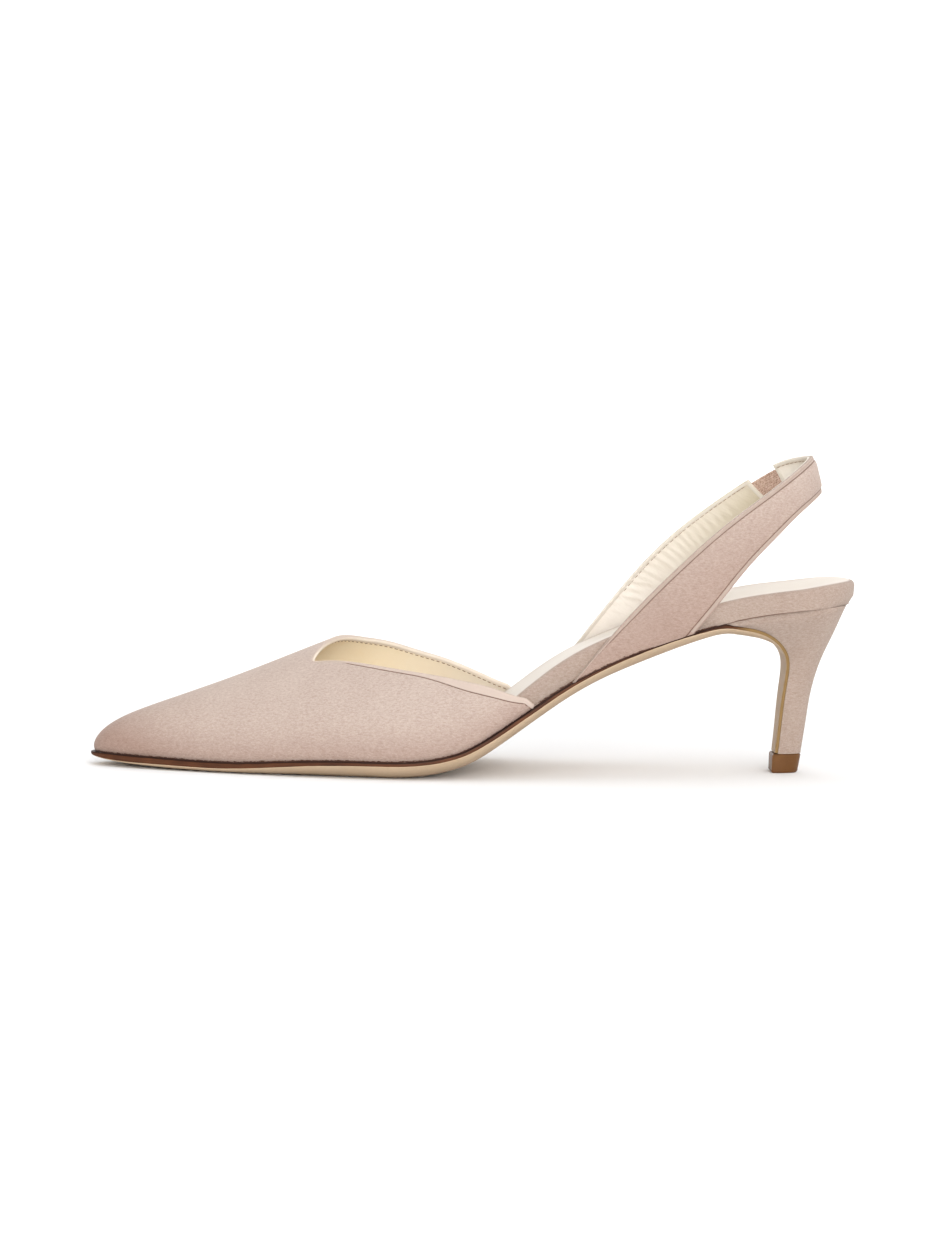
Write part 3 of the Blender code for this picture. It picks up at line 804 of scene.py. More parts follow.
@dataclass(frozen=True)
class Suede:
    """Short-napped suede with fine flecks along the shoe, dark at seams, stained by the sole's dye and
    darkened by painted shade.
    """

    name: str
    light: Colour = tint(200, 184, 173)
    deep: Colour = tint(172, 151, 140)
    # painted shade: darker copies of the two colours, mixed in by the field shade
    painted_shade_light: Colour = tint(172, 147, 134)
    painted_shade_deep: Colour = tint(147, 120, 108)
    seam: Colour = tint(104, 76, 62)
    dye: Colour = tint(70, 38, 22)
    clouds: float = 70.0
    nap: float = 1700.0
    fibre: float = 4600.0
    nap_lie: tuple[float, float, float] = (0.5, 0.8, 1.25)
    fibre_lie: tuple[float, float, float] = (0.45, 0.8, 1.2)
    sheen: Colour = (1.0, 0.94, 0.90)
    relief: float = 0.0003
    seam_band: tuple[float, float] = (0.26, 0.08)
    dye_band: tuple[float, float] = (0.5, 0.1)

    def material(self) -> bpy.types.Material:
        """Make the material.

        Fields, each 0 where it has no effect: shade, the share of painted shade, seam_near and
        sole_near, which rise to 1 at the seam and at the sole.
        """
        shader = Shader(self.name)
        cloud = shader.noise(self.clouds, 3.0)
        nap = shader.noise(self.nap, 3.0, shader.stretched(self.nap_lie), 0.6)
        fibre = shader.noise(self.fibre, 2.0, shader.stretched(self.fibre_lie))
        tone = shader.vary(0.5, (cloud, 0.4), (nap, 1.7), (fibre, 1.3))
        # painted shade: the field shade darkens both colours
        shade = shader.field("shade")
        light = shader.mix(self.light, self.painted_shade_light, shade)
        colour = shader.mix(shader.mix(self.deep, self.painted_shade_deep, shade), light, tone)
        from_seam = SEAM_REACH * (1 - shader.field("seam_near"))
        colour = shader.mix(colour, self.seam, 0.8 * from_seam.ramp(*self.seam_band))
        from_sole = SOLE_REACH * (1 - shader.field("sole_near")) - 1.6 * (nap - 0.4)
        colour = shader.mix(colour, self.dye, 0.9 * from_sole.ramp(*self.dye_band))
        shader.bump(0.6 * nap + 0.4 * fibre, self.relief, 0.8)
        return shader.finish({
            "Base Color": colour,
            "Roughness": 0.95,
            "Specular IOR Level": 0.15,
            "Sheen Weight": 0.18,
            "Sheen Roughness": 0.5,
            "Sheen Tint": full(self.sheen),
        })


@dataclass(frozen=True)
class LiningLeather:
    """Smooth lining leather with fine pores and a satin face."""

    name: str
    light: Colour = tint(254, 240, 211)
    deep: Colour = tint(252, 232, 195)
    shaded: Colour = tint(216, 203, 184)
    clouds: float = 70.0
    grain: float = 900.0
    pores: float = 1700.0
    crumple: float = 420.0
    crumple_lie: tuple[float, float] = (30.0, 3.5)
    gloss: float = 0.48
    relief: float = 0.00012
    creases: float = 0.0

    def material(self) -> bpy.types.Material:
        """Make the material; the field shade darkens it from 0 to 1."""
        shader = Shader(self.name)
        cloud = shader.noise(self.clouds, 3.0)
        grain = shader.noise(self.grain, 3.0)
        colour = shader.mix(self.deep, self.light, shader.vary(0.55, (cloud, 1.2), (grain, 0.5)))
        colour = shader.mix(colour, self.shaded, shader.field("shade"))
        height = 0.5 * shader.cells(self.pores) + 0.5 * grain
        if self.creases:
            crumple = shader.noise(self.crumple, 3.0, shader.slanted(*self.crumple_lie), 0.55)
            height = height + self.creases * crumple
        shader.bump(height, self.relief, 0.5)
        return shader.finish({
            "Base Color": colour,
            "Roughness": shader.vary(self.gloss, (grain, 0.2)),
            "Specular IOR Level": 0.35,
        })


@dataclass(frozen=True)
class BindingLeather:
    """Folded edge binding, blush outside and cream inside."""

    name: str
    outer: Colour = tint(196, 178, 166)
    inner: Colour = tint(223, 210, 193)
    grain: float = 1500.0
    puckers: float = 500.0
    turn_band: tuple[float, float] = (0.35, 0.75)
    relief: float = 0.0002

    def material(self) -> bpy.types.Material:
        """Make the material; the field inside runs from 0 outside to 1 inside."""
        shader = Shader(self.name)
        grain = shader.noise(self.grain, 3.0)
        puckers = shader.noise(self.puckers, 2.0)
        inside = shader.field("inside").ramp(*self.turn_band)
        colour = shader.mix(self.outer, self.inner, shader.vary(inside, (puckers, 0.4)))
        shader.bump(0.5 * grain + 0.5 * puckers, self.relief, 0.6)
        return shader.finish({
            "Base Color": colour,
            "Roughness": shader.vary(0.75 - 0.2 * inside, (grain, 0.2)),
            "Specular IOR Level": 0.3,
        })


@dataclass(frozen=True)
class SoleLeather:
    """Tan sole leather with a dark dressed edge along its top, a painted shadow line at the very top and a
    painted highlight along the top of the tan.
    """

    name: str
    light: Colour = tint(188, 166, 141)
    deep: Colour = tint(167, 143, 117)
    # line is a painted highlight along the top of the tan bevel
    line: Colour = tint(210, 184, 152)
    edge_light: Colour = tint(103, 62, 38)
    edge_deep: Colour = tint(64, 36, 22)
    painted_shadow_line: Colour = tint(50, 25, 14)
    flap_edge: Colour = tint(140, 112, 72)
    clouds: float = 45.0
    grain: float = 1300.0
    streaks: float = 300.0
    streak_lie: tuple[float, float, float] = (0.12, 1.0, 1.0)
    tan_band: tuple[float, float] = (-0.08, 0.08)
    painted_shadow_band: tuple[float, float] = (0.42, 0.12)
    painted_highlight_band: tuple[float, float] = (0.35, 0.1)
    relief: float = 0.0001

    def material(self) -> bpy.types.Material:
        """Make the material; fields: below_top and below_dark in millimetres, flap from 0 to 1."""
        shader = Shader(self.name)
        cloud = shader.noise(self.clouds, 4.0)
        grain = shader.noise(self.grain, 3.0)
        streaks = shader.noise(self.streaks, 3.0, shader.stretched(self.streak_lie))
        tan = shader.mix(self.deep, self.light, shader.vary(0.5, (cloud, 0.9), (grain, 0.5)))
        dressed = shader.mix(self.edge_deep, self.edge_light, shader.vary(0.45, (streaks, 1.6)))
        flap = shader.field("flap")
        dressed = shader.mix(dressed, self.flap_edge, flap)
        below = shader.vary(shader.field("below_dark"), (streaks, 0.25))
        is_tan = below.ramp(*self.tan_band)
        on_top = shader.vary(shader.field("below_top"), (streaks, 0.4))
        # painted shadow where the upper meets the sole, over the top of the dark edge
        dressed = shader.mix(dressed, self.painted_shadow_line, on_top.ramp(*self.painted_shadow_band) * (1 - flap))
        # painted highlight along the top of the tan
        tan = shader.mix(tan, self.line, 0.7 * below.ramp(*self.painted_highlight_band) * (1 - flap))
        colour = shader.mix(dressed, tan, is_tan)
        shader.bump(0.6 * grain + 0.4 * streaks, self.relief, 0.5)
        return shader.finish({
            "Base Color": colour,
            "Roughness": shader.vary(0.50 + 0.08 * is_tan, (grain, 0.15)),
            "Specular IOR Level": 0.16,
        })


@dataclass(frozen=True)
class Webbing:
    """Ribbed elastic webbing; the field rib is 1 on a cord and 0 between two."""

    name: str
    light: Colour = tint(198, 170, 152)
    deep: Colour = tint(140, 106, 88)
    knit: float = 1900.0
    fuzz: float = 2200.0
    relief: float = 0.0002

    def material(self) -> bpy.types.Material:
        """Make the material."""
        shader = Shader(self.name)
        knit = shader.cells(self.knit)
        fuzz = shader.noise(self.fuzz, 2.0)
        tone = shader.vary(0.3 + 0.3 * shader.field("rib") + 1.1 * (knit - 0.4), (fuzz, 1.6))
        colour = shader.mix(self.deep, self.light, tone)
        shader.bump(0.7 * knit + 0.3 * fuzz, self.relief, 0.7)
        return shader.finish({"Base Color": colour, "Roughness": 0.85, "Sheen Weight": 0.15})


@dataclass(frozen=True)
class Lift:
    """Moulded brown top piece with a satin face."""

    name: str
    light: Colour = tint(114, 73, 30)
    deep: Colour = tint(86, 53, 21)
    clouds: float = 240.0
    grain: float = 2600.0
    relief: float = 0.00006

    def material(self) -> bpy.types.Material:
        """Make the material."""
        shader = Shader(self.name)
        cloud = shader.noise(self.clouds, 3.0)
        grain = shader.noise(self.grain, 2.0)
        colour = shader.mix(self.deep, self.light, shader.vary(0.5, (cloud, 0.8), (grain, 0.4)))
        shader.bump(grain, self.relief, 0.5)
        gloss = {"Roughness": shader.vary(0.42, (grain, 0.2)), "Specular IOR Level": 0.3}
        return shader.finish({"Base Color": colour, **gloss})


@dataclass(frozen=True)
class Thread:
    """Twisted sewing thread."""

    name: str
    colour: Colour = tint(128, 92, 62)
    shade: Colour = tint(92, 62, 42)
    twist: float = 4200.0
    relief: float = 0.00008

    def material(self) -> bpy.types.Material:
        """Make the material."""
        shader = Shader(self.name)
        twist = shader.noise(self.twist, 1.0)
        colour = shader.mix(self.shade, self.colour, 0.2 + twist)
        shader.bump(twist, self.relief, 0.6)
        return shader.finish({"Base Color": colour, "Roughness": 0.7})


Finish = Union[Suede, LiningLeather, BindingLeather, SoleLeather, Webbing, Lift, Thread]


class Wardrobe:
    """Makes each finish's material once and dresses pieces in it."""

    def __init__(self) -> None:
        """Start with no materials."""
        self.made: dict[str, bpy.types.Material] = {}

    def dress(self, piece: bpy.types.Object, finish: Finish, nodes: Sequence[str] = ()) -> None:
        """Give a piece its material and tie it to the frame.

        Args:
            piece: Object to dress.
            finish: Its finish.
            nodes: Solids that it stands for.
        """
        if finish.name not in self.made:
            self.made[finish.name] = finish.material()
        piece.data.materials.append(self.made[finish.name])
        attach(piece, BODY)
        if nodes:
            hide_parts(*nodes)
        log.info("%s: %d faces, %s", piece.name, len(piece.data.polygons), finish.name)


SUEDE = Suede("suede")
# darker copy of the suede: painted shade on the heel and the insole's rim
SHADED_COVER_SUEDE = Suede("cover_suede", light=tint(181, 163, 151), deep=tint(154, 133, 120))
LINING = LiningLeather("lining_leather")
# painted shade: the colour shaded darkens the strap lining towards the tab's upper end
STRAP_LINING = LiningLeather("strap_lining", light=tint(242, 235, 225), deep=tint(229, 220, 208),
                             shaded=tint(190, 177, 150), creases=9.0)
BINDING_LEATHER = BindingLeather("binding_leather")
# darker copy of the binding leather: painted shade to match the strap's shaded suede
SHADED_STRAP_BINDING = BindingLeather("strap_binding", outer=tint(174, 155, 143), inner=tint(212, 203, 189))
# painted shade: the colour shaded darkens the sock towards its edge
SOCK_LEATHER = LiningLeather("sock_leather", light=tint(222, 213, 202), deep=tint(212, 200, 186),
                             shaded=tint(186, 165, 152))
SOLE_LEATHER = SoleLeather("sole_leather")
WEBBING = Webbing("elastic_webbing")
LIFT = Lift("lift")
EDGE_THREAD = Thread("edge_thread")
STRAP_THREAD = Thread("strap_thread", colour=tint(156, 126, 96), shade=tint(118, 90, 66))
SEAM_THREAD = Thread("seam_thread", colour=tint(140, 108, 92), shade=tint(98, 72, 60))


@dataclass
class EdgeLine:
    """Edge of a wall: points on its outside, outward normals and directions out over the edge."""

    points: Array
    normals: Array
    outs: Array

    @classmethod
    def along(cls, points: Array, normals: Array, outs: Array) -> "EdgeLine":
        """Square up the directions along a line of points.

        Args:
            points: Points along the edge.
            normals: Rough outward normals.
            outs: Rough directions out over the edge.

        Returns:
            The line with true frames.
        """
        tangents = unit(np.gradient(points, axis=0))
        normals = unit(normals - np.sum(normals * tangents, axis=-1, keepdims=True) * tangents)
        across = np.cross(tangents, normals)
        flip = np.sign(np.sum(across * outs, axis=-1, keepdims=True))
        return cls(points, normals, across * flip)

    def at(self, outward: Union[Array, float], over: Union[Array, float]) -> Array:
        """Line shifted along its normals and out over the edge; shifts may differ along it."""
        aside = np.asarray(outward)[..., None] * self.normals
        return self.points + aside + np.asarray(over)[..., None] * self.outs


@dataclass(frozen=True)
class Binding:
    """Strip of leather folded over an edge: a lip outside, a round top and a wider band inside."""

    inside: float
    rise: float
    wall: float = VAMP_WALL
    proud: float = 0.08
    round_height: float = 0.8
    round_steps: int = 12
    round_power: float = 0.8
    lip_share: float = 0.6
    lip_foot: tuple[float, float] = (0.35, 0.05)
    lip_step: tuple[float, float] = (0.04, 0.02)
    band_share: float = 0.55
    band_step: tuple[float, float] = (0.02, 0.12)
    band_foot: float = 0.05
    core: tuple[float, float] = (0.5, 0.6)

    def add(self, maker: MeshMaker, line: EdgeLine, outside: Union[Array, float],
            thin: Union[Array, float] = 0.0) -> None:
        """Lay the strip along an edge.

        Args:
            maker: Mesh that takes it.
            line: The edge.
            outside: Width of the outer lip, one number or one for each point.
            thin: How much thinner the wall is here, one number or one for each point.
        """
        outside = np.broadcast_to(np.asarray(outside, float), len(line.points))
        wall = self.wall - np.asarray(thin)
        half = wall / 2 + self.proud
        base = np.maximum(self.rise - self.round_height, -outside * self.lip_share)
        height = self.rise - base
        corners = [
            (-self.lip_foot[0], -outside - self.lip_foot[1], 0.0),
            (-self.lip_step[0], -outside + self.lip_step[1], 0.0),
            (self.proud, blend(-outside, base, self.lip_share), 0.0),
        ]
        for k in range(self.round_steps + 1):
            turn = math.pi * k / self.round_steps
            outward = -wall / 2 + half * math.cos(turn)
            over = base + height * math.sin(turn) ** self.round_power
            corners.append((outward, over, k / self.round_steps))
        deep = -wall - self.proud
        corners += [
            (deep, -self.inside * self.band_share, 1.0),
            (deep + self.band_step[0], -self.inside + self.band_step[1], 1.0),
            (-wall + self.band_foot, -self.inside, 1.0),
            (-wall / 2, -self.inside, 1.0),
            (-wall / 2, base * self.core[0] - self.core[1], 0.0),
        ]
        rings = np.stack([line.at(outward, over) for outward, over, _ in corners], axis=1)
        cream = np.broadcast_to(np.asarray(thin, float) / 2, len(line.points))
        inside = np.array([corner[2] for corner in corners])[None, :] + cream[:, None]
        maker.add(rings, caps=(True, True), inside=np.clip(inside, 0.0, 1.0))


@dataclass(frozen=True)
class Stitching:
    """Row of stitches: short tapered threads that dip in at both ends."""

    pitch: float = 1.9
    length: float = 1.6
    thickness: float = 0.22
    dip: float = 0.6
    blunt: float = 0.02
    sides: int = 6
    rings: int = 7

    def lay(self, maker: MeshMaker, points: Array, normals: Array) -> None:
        """Lay the stitches along a line.

        Args:
            maker: Mesh that takes them.
            points: Line in millimetres.
            normals: Direction away from the leather.
        """
        run = lengths_along(points)
        count = int(run[-1] / self.pitch)
        for k in range(count):
            start = (k + 0.5) * self.pitch - self.length / 2
            places = np.linspace(start, start + self.length, self.rings)
            spine = resample(places, run, points)
            up = unit(resample(places, run, normals))
            along = unit(np.gradient(spine, axis=0))
            aside = unit(np.cross(along, up))
            swell = np.sqrt(np.clip(1 - np.linspace(-1, 1, self.rings) ** 2, self.blunt, 1))[:, None]
            spine = spine + up * (swell - 1) * self.thickness * self.dip
            turns = np.linspace(0, 2 * math.pi, self.sides, endpoint=False)
            ring = [
                spine + (aside * math.cos(turn) + up * math.sin(turn)) * swell * self.thickness / 2
                for turn in turns
            ]
            maker.add(np.stack(ring, axis=1), caps=(True, True))


@dataclass(frozen=True)
class Seam:
    """Sunk seam in the suede beside a binding, which fades where the binding's lip is narrow."""

    depth: float = 0.24
    width: float = 0.36
    shift: float = 0.12
    share: float = 0.8
    fade: float = 0.4
    fade_lips: tuple[float, float] = (0.4, 0.7)

    def distance(self, away: Array, lip: Any) -> Array:
        """Distance from the seam of points at a distance from an edge with such a lip."""
        return np.abs(away - lip - self.shift) + self.fade * (1 - smooth_step(*self.fade_lips, lip))

    def dip(self, distance: Array) -> Array:
        """How deep the suede is drawn in at a distance from the seam."""
        return self.depth * bell(distance, self.width)

    def near(self, distance: Array) -> Array:
        """The field seam_near at a distance from the seam."""
        return nearness(self.share * distance, SEAM_REACH)


@dataclass
class Vamp:
    """The upper: a suede shell, its lining, the binding of the topline and its stitches."""

    suede_depth: float = 0.9
    front_rows: int = 56
    wing_rows: int = 84
    wing_spread: float = 1.7
    front_spread: float = 1.25
    even_columns: int = 26
    dense_columns: int = 160
    fine: tuple[float, ...] = (0.0, 0.3, 0.6, 0.85, 1.1, 1.35, 1.6, 1.85, 2.1, 2.4, 2.7, 3.0, 3.3, 3.8)
    fine_reach: float = 12.0
    seam: Seam = Seam()
    lips: tuple[float, float] = (0.3, 0.9)
    lip_reach: tuple[float, float] = (3.0, 25.0)
    wing_lip: float = 1.8
    wing_lip_reach: tuple[float, float] = (38.0, 62.0)
    tip_lip: float = 0.4
    tip_reach: float = 20.0
    lining_shade: tuple[float, float] = (92.0, 138.0)
    line_points: int = 400
    line_step: float = 0.25
    line_rounds: int = 8
    out_over: tuple[float, float, float] = (0.6, 0.0, 1.0)
    skive: float = 0.85
    skive_reach: tuple[float, float] = (18.0, 2.0)
    skive_width: float = 4.0
    binding: Binding = Binding(inside=0.8, proud=0.05, rise=0.62)
    stitching: Stitching = Stitching(thickness=0.26)
    seam_stitching: Stitching = Stitching()
    stitch_inset: float = 0.2
    seam_sink: float = 0.2
    pleat_lean: float = 0.2
    pleat_middle: float = 0.8
    # painted shade of the suede: darkest low down by the sole and at the toe tip
    low_shade: float = 0.70
    low_reach: float = 9.0
    toe_shade: float = 0.60
    toe_reach: float = 24.0

    def topline(self) -> tuple[EdgeLine, Array, Array]:
        """Edge of the outside, from the lateral wing's end round the throat to the medial one.

        Returns:
            The line, the width of the binding's outer lip along it and how much the wall is skived there.
        """
        shares = np.linspace(0, 1, self.line_points) ** 2
        halves = []
        for side in Side:
            sweep = sweep_of(blend(THROAT_STATION, WING_ENDS[side], shares))
            angle = LAST.cut(sweep, side)
            rise = LAST.vamp(sweep, angle)[:, 2] - LAST.height(station_of(sweep)) - GAP
            keep = rise > BINDING_ENDS[side]
            halves.append((sweep[keep], angle[keep]))
        (left, left_angle), (right, right_angle) = halves
        sweep = np.concatenate([left[:0:-1], right])
        angle = np.concatenate([left_angle[:0:-1], right_angle])
        points = LAST.vamp_wall(sweep, angle, 0.0)
        normals = LAST.vamp_normal(sweep, angle)
        run = lengths_along(points)
        throat = run[len(left) - 1]
        even = np.linspace(0, run[-1], int(run[-1] / self.line_step))
        points = resample(even, run, points)
        normals = unit(resample(even, run, normals))
        for _ in range(self.line_rounds):
            points[1:-1] = (points[:-2] + 2 * points[1:-1] + points[2:]) / 4
            normals[1:-1] = unit(normals[:-2] + 2 * normals[1:-1] + normals[2:])
        away = np.abs(even - throat)
        lip = blend(*self.lips, smooth_step(*self.lip_reach, away))
        lip = lip + self.wing_lip * smooth_step(*self.wing_lip_reach, away)
        from_tip = np.minimum(even, even[-1] - even)
        lip = lip * blend(self.tip_lip, 1.0, smooth_step(0.0, self.tip_reach, from_tip))
        thin = self.skive * smooth_step(*self.skive_reach, away)
        return EdgeLine.along(points, normals, np.array(self.out_over) + 0 * points), lip, thin

    def angles(self, sweep: Array, side: Side, top: Array) -> Array:
        """Column angles of each row, from the feather to the top, close together at the top.

        Args:
            sweep: Sweep angle of each row.
            side: Side of the shoe.
            top: Top angle of each row.

        Returns:
            Angles of rows and columns.
        """
        start = 0.0 if side is Side.LATERAL else math.pi
        dense = blend(top[:, None], start, np.linspace(0, 1, self.dense_columns)[None, :])
        rows = []
        for own, run in zip(dense, lengths_along(LAST.vamp(sweep[:, None], dense))):
            fine = np.array(self.fine) * min(1.0, run[-1] / self.fine_reach)
            even = np.linspace(fine[-1], run[-1], self.even_columns + 1)[1:]
            rows.append(np.interp(np.concatenate([fine, even]), run, own)[::-1])
        return np.array(rows)

    def pleats(self, points: Array) -> Array:
        """Depth of the pleats at the feather, by station and height, alike on both sides."""
        rise = points[..., 2] - LAST.height(points[..., 0])
        depth = np.zeros(points.shape[:-1])
        for pleat in FEATHER_PLEATS:
            off = (points[..., 0] - pleat.station - self.pleat_lean * rise) / pleat.width
            up = (rise - self.pleat_middle) / pleat.height
            depth += pleat.depth * np.exp(-(off**2) - up**2)
        return depth

    def fields(self, points: Array, from_seam: Array) -> dict[str, Array]:
        """Fields of the suede.

        Args:
            points: Points of a face.
            from_seam: Distance of each from the seam beside the binding.

        Returns:
            Fields by name.
        """
        rise = points[..., 2] - LAST.height(points[..., 0])
        # painted shade, darker low down and towards the toe tip
        low = self.low_shade * bell(rise, self.low_reach)
        toe = self.toe_shade * bell(points[..., 0], self.toe_reach)
        return {
            "shade": low + toe,
            "seam_near": self.seam.near(from_seam),
            "sole_near": nearness(rise - CONTACT, SOLE_REACH),
        }

    def nearest(self, points: Array, edge: EdgeLine) -> tuple[Array, Array]:
        """Distance of each point from the topline, and the number of the nearest place on it."""
        flat = points.reshape(-1, 3)
        away = np.full(len(flat), np.inf)
        spot = np.zeros(len(flat), int)
        for k, place in enumerate(edge.points):
            span = np.linalg.norm(flat - place, axis=1)
            nearer = span < away
            away[nearer] = span[nearer]
            spot[nearer] = k
        return away.reshape(points.shape[:-1]), spot.reshape(points.shape[:-1])

    def shells(self, wardrobe: Wardrobe, edge: EdgeLine, lip: Array, thin: Array) -> None:
        """Suede and lining, two closed shells that share the wall.

        Args:
            wardrobe: Dresses the pieces.
            edge: The topline.
            lip: Width of the binding's outer lip along it.
            thin: How much the wall is skived along it.
        """
        suede, lining = MeshMaker("vamp_suede"), MeshMaker("vamp_lining")
        split = math.radians(THROAT_ANGLE)
        end = float(sweep_of(THROAT_STATION))
        front = end * (1 - np.linspace(1, 0, self.front_rows + 1) ** self.front_spread)
        lateral = self.angles(front, Side.LATERAL, np.full(len(front), split))
        medial = self.angles(front, Side.MEDIAL, np.full(len(front), split))
        grids = [(front, np.concatenate([lateral, medial[:, -2::-1]], axis=1), (False, False))]
        for side, angles in zip(Side, (lateral, medial)):
            shares = np.linspace(0, 1, self.wing_rows + 1) ** self.wing_spread
            sweep = sweep_of(blend(THROAT_STATION, WING_ENDS[side], shares))
            grid = self.angles(sweep, side, LAST.cut(sweep, side))
            grid[0] = angles[-1]
            grids.append((sweep, grid, (False, True)))
        for sweep, grid, caps in grids:
            rows = sweep[:, None]
            outside = LAST.vamp_wall(rows, grid, 0.0)
            away, spot = self.nearest(outside, edge)
            from_seam = self.seam.distance(away, lip[spot])
            dip = self.seam.dip(from_seam) + self.pleats(outside)
            outside = outside - dip[..., None] * LAST.vamp_normal(rows, grid)
            taper = thin[spot] * bell(away, self.skive_width)
            between = self.suede_depth - taper * self.suede_depth / VAMP_WALL
            middle = LAST.vamp_wall(rows, grid, between)
            rings = wall_rings(outside, middle)
            from_seam = np.concatenate([from_seam, np.full(from_seam.shape, FAR)], axis=1)
            suede.add(rings, caps=caps, **self.fields(rings, from_seam))
            outside = LAST.vamp_wall(rows, grid, between + LAYER_GAP)
            inside = LAST.vamp_wall(rows, grid, VAMP_WALL - taper)
            rings = wall_rings(outside, inside)
            lining.add(rings, caps=caps, shade=smooth_step(*self.lining_shade, rings[..., 0]))
        wardrobe.dress(suede.build(), SUEDE, ["vamp"])
        wardrobe.dress(lining.build(), LINING)

    def build(self, wardrobe: Wardrobe) -> None:
        """Make and dress the upper's pieces."""
        edge, lip, thin = self.topline()
        self.shells(wardrobe, edge, lip, thin)
        strip = MeshMaker("vamp_binding")
        self.binding.add(strip, edge, lip, thin)
        wardrobe.dress(strip.build(), BINDING_LEATHER)
        stitches = MeshMaker("vamp_stitches")
        row = edge.at(thin - VAMP_WALL - LAYER_GAP, -self.binding.inside - self.stitch_inset)
        self.stitching.lay(stitches, row, -edge.normals)
        wardrobe.dress(stitches.build(), EDGE_THREAD)
        seam = MeshMaker("vamp_seam_stitches")
        row = edge.at(-self.seam_sink, -lip - self.seam.shift)
        self.seam_stitching.lay(seam, row, edge.normals)
        wardrobe.dress(seam.build(), SEAM_THREAD)


class StrapForm:
    """Shape of the sling strap's two sides."""

    def __init__(self) -> None:
        """Fit the edge heights, from where each foot stands on the sole."""
        feet = [float(LAST.height(s)) + CONTACT for side in Side for s in STRAP_FEET[side]]
        rows = [StrapEdge(0.0, *feet)] + STRAP_EDGES
        self.heights = Spline([row.share for row in rows], [row[1:] for row in rows])

    def at(self, side: Side, share: Any, across: Any) -> Array:
        """Point on the outside of a strap.

        Args:
            side: Side of the shoe.
            share: Share of the strap's length from the sole to the back.
            across: Share of its width from the upper to the lower edge.

        Returns:
            Points with the broadcast shape of the two.
        """
        share, across = np.broadcast_arrays(np.asarray(share, float), np.asarray(across, float))
        foot = STRAP_FEET[side]
        heights = self.heights(share)
        column = 0 if side is Side.LATERAL else 2
        end = blend(LOOP_TOP_END, LOOP_BOTTOM_END, across)
        stand = blend(foot.front, foot.rear, across)
        station = blend(stand, end, share)
        chord = blend(LAST.height(foot.front), LAST.height(foot.rear), across)
        height = blend(heights[..., column], heights[..., column + 1], across)
        height = height + (LAST.height(stand) - chord) * (1 - share) ** FOOT_FADE
        width = LAST.half_width(sweep_of(np.minimum(station, LOOP_STATION)), side)
        turn = np.clip((station - LOOP_STATION) / (end - LOOP_STATION), 0.0, 1.0)
        width = width * np.sqrt(np.clip(1 - turn**2, 0.0, None))
        return np.stack([station, side.value * width, height], axis=-1)


@dataclass
class BandGrid:
    """Grid of a strap's outside with its frames and its own sizes."""

    points: Array
    inward: Array
    run: Array
    from_top: Array
    from_bottom: Array


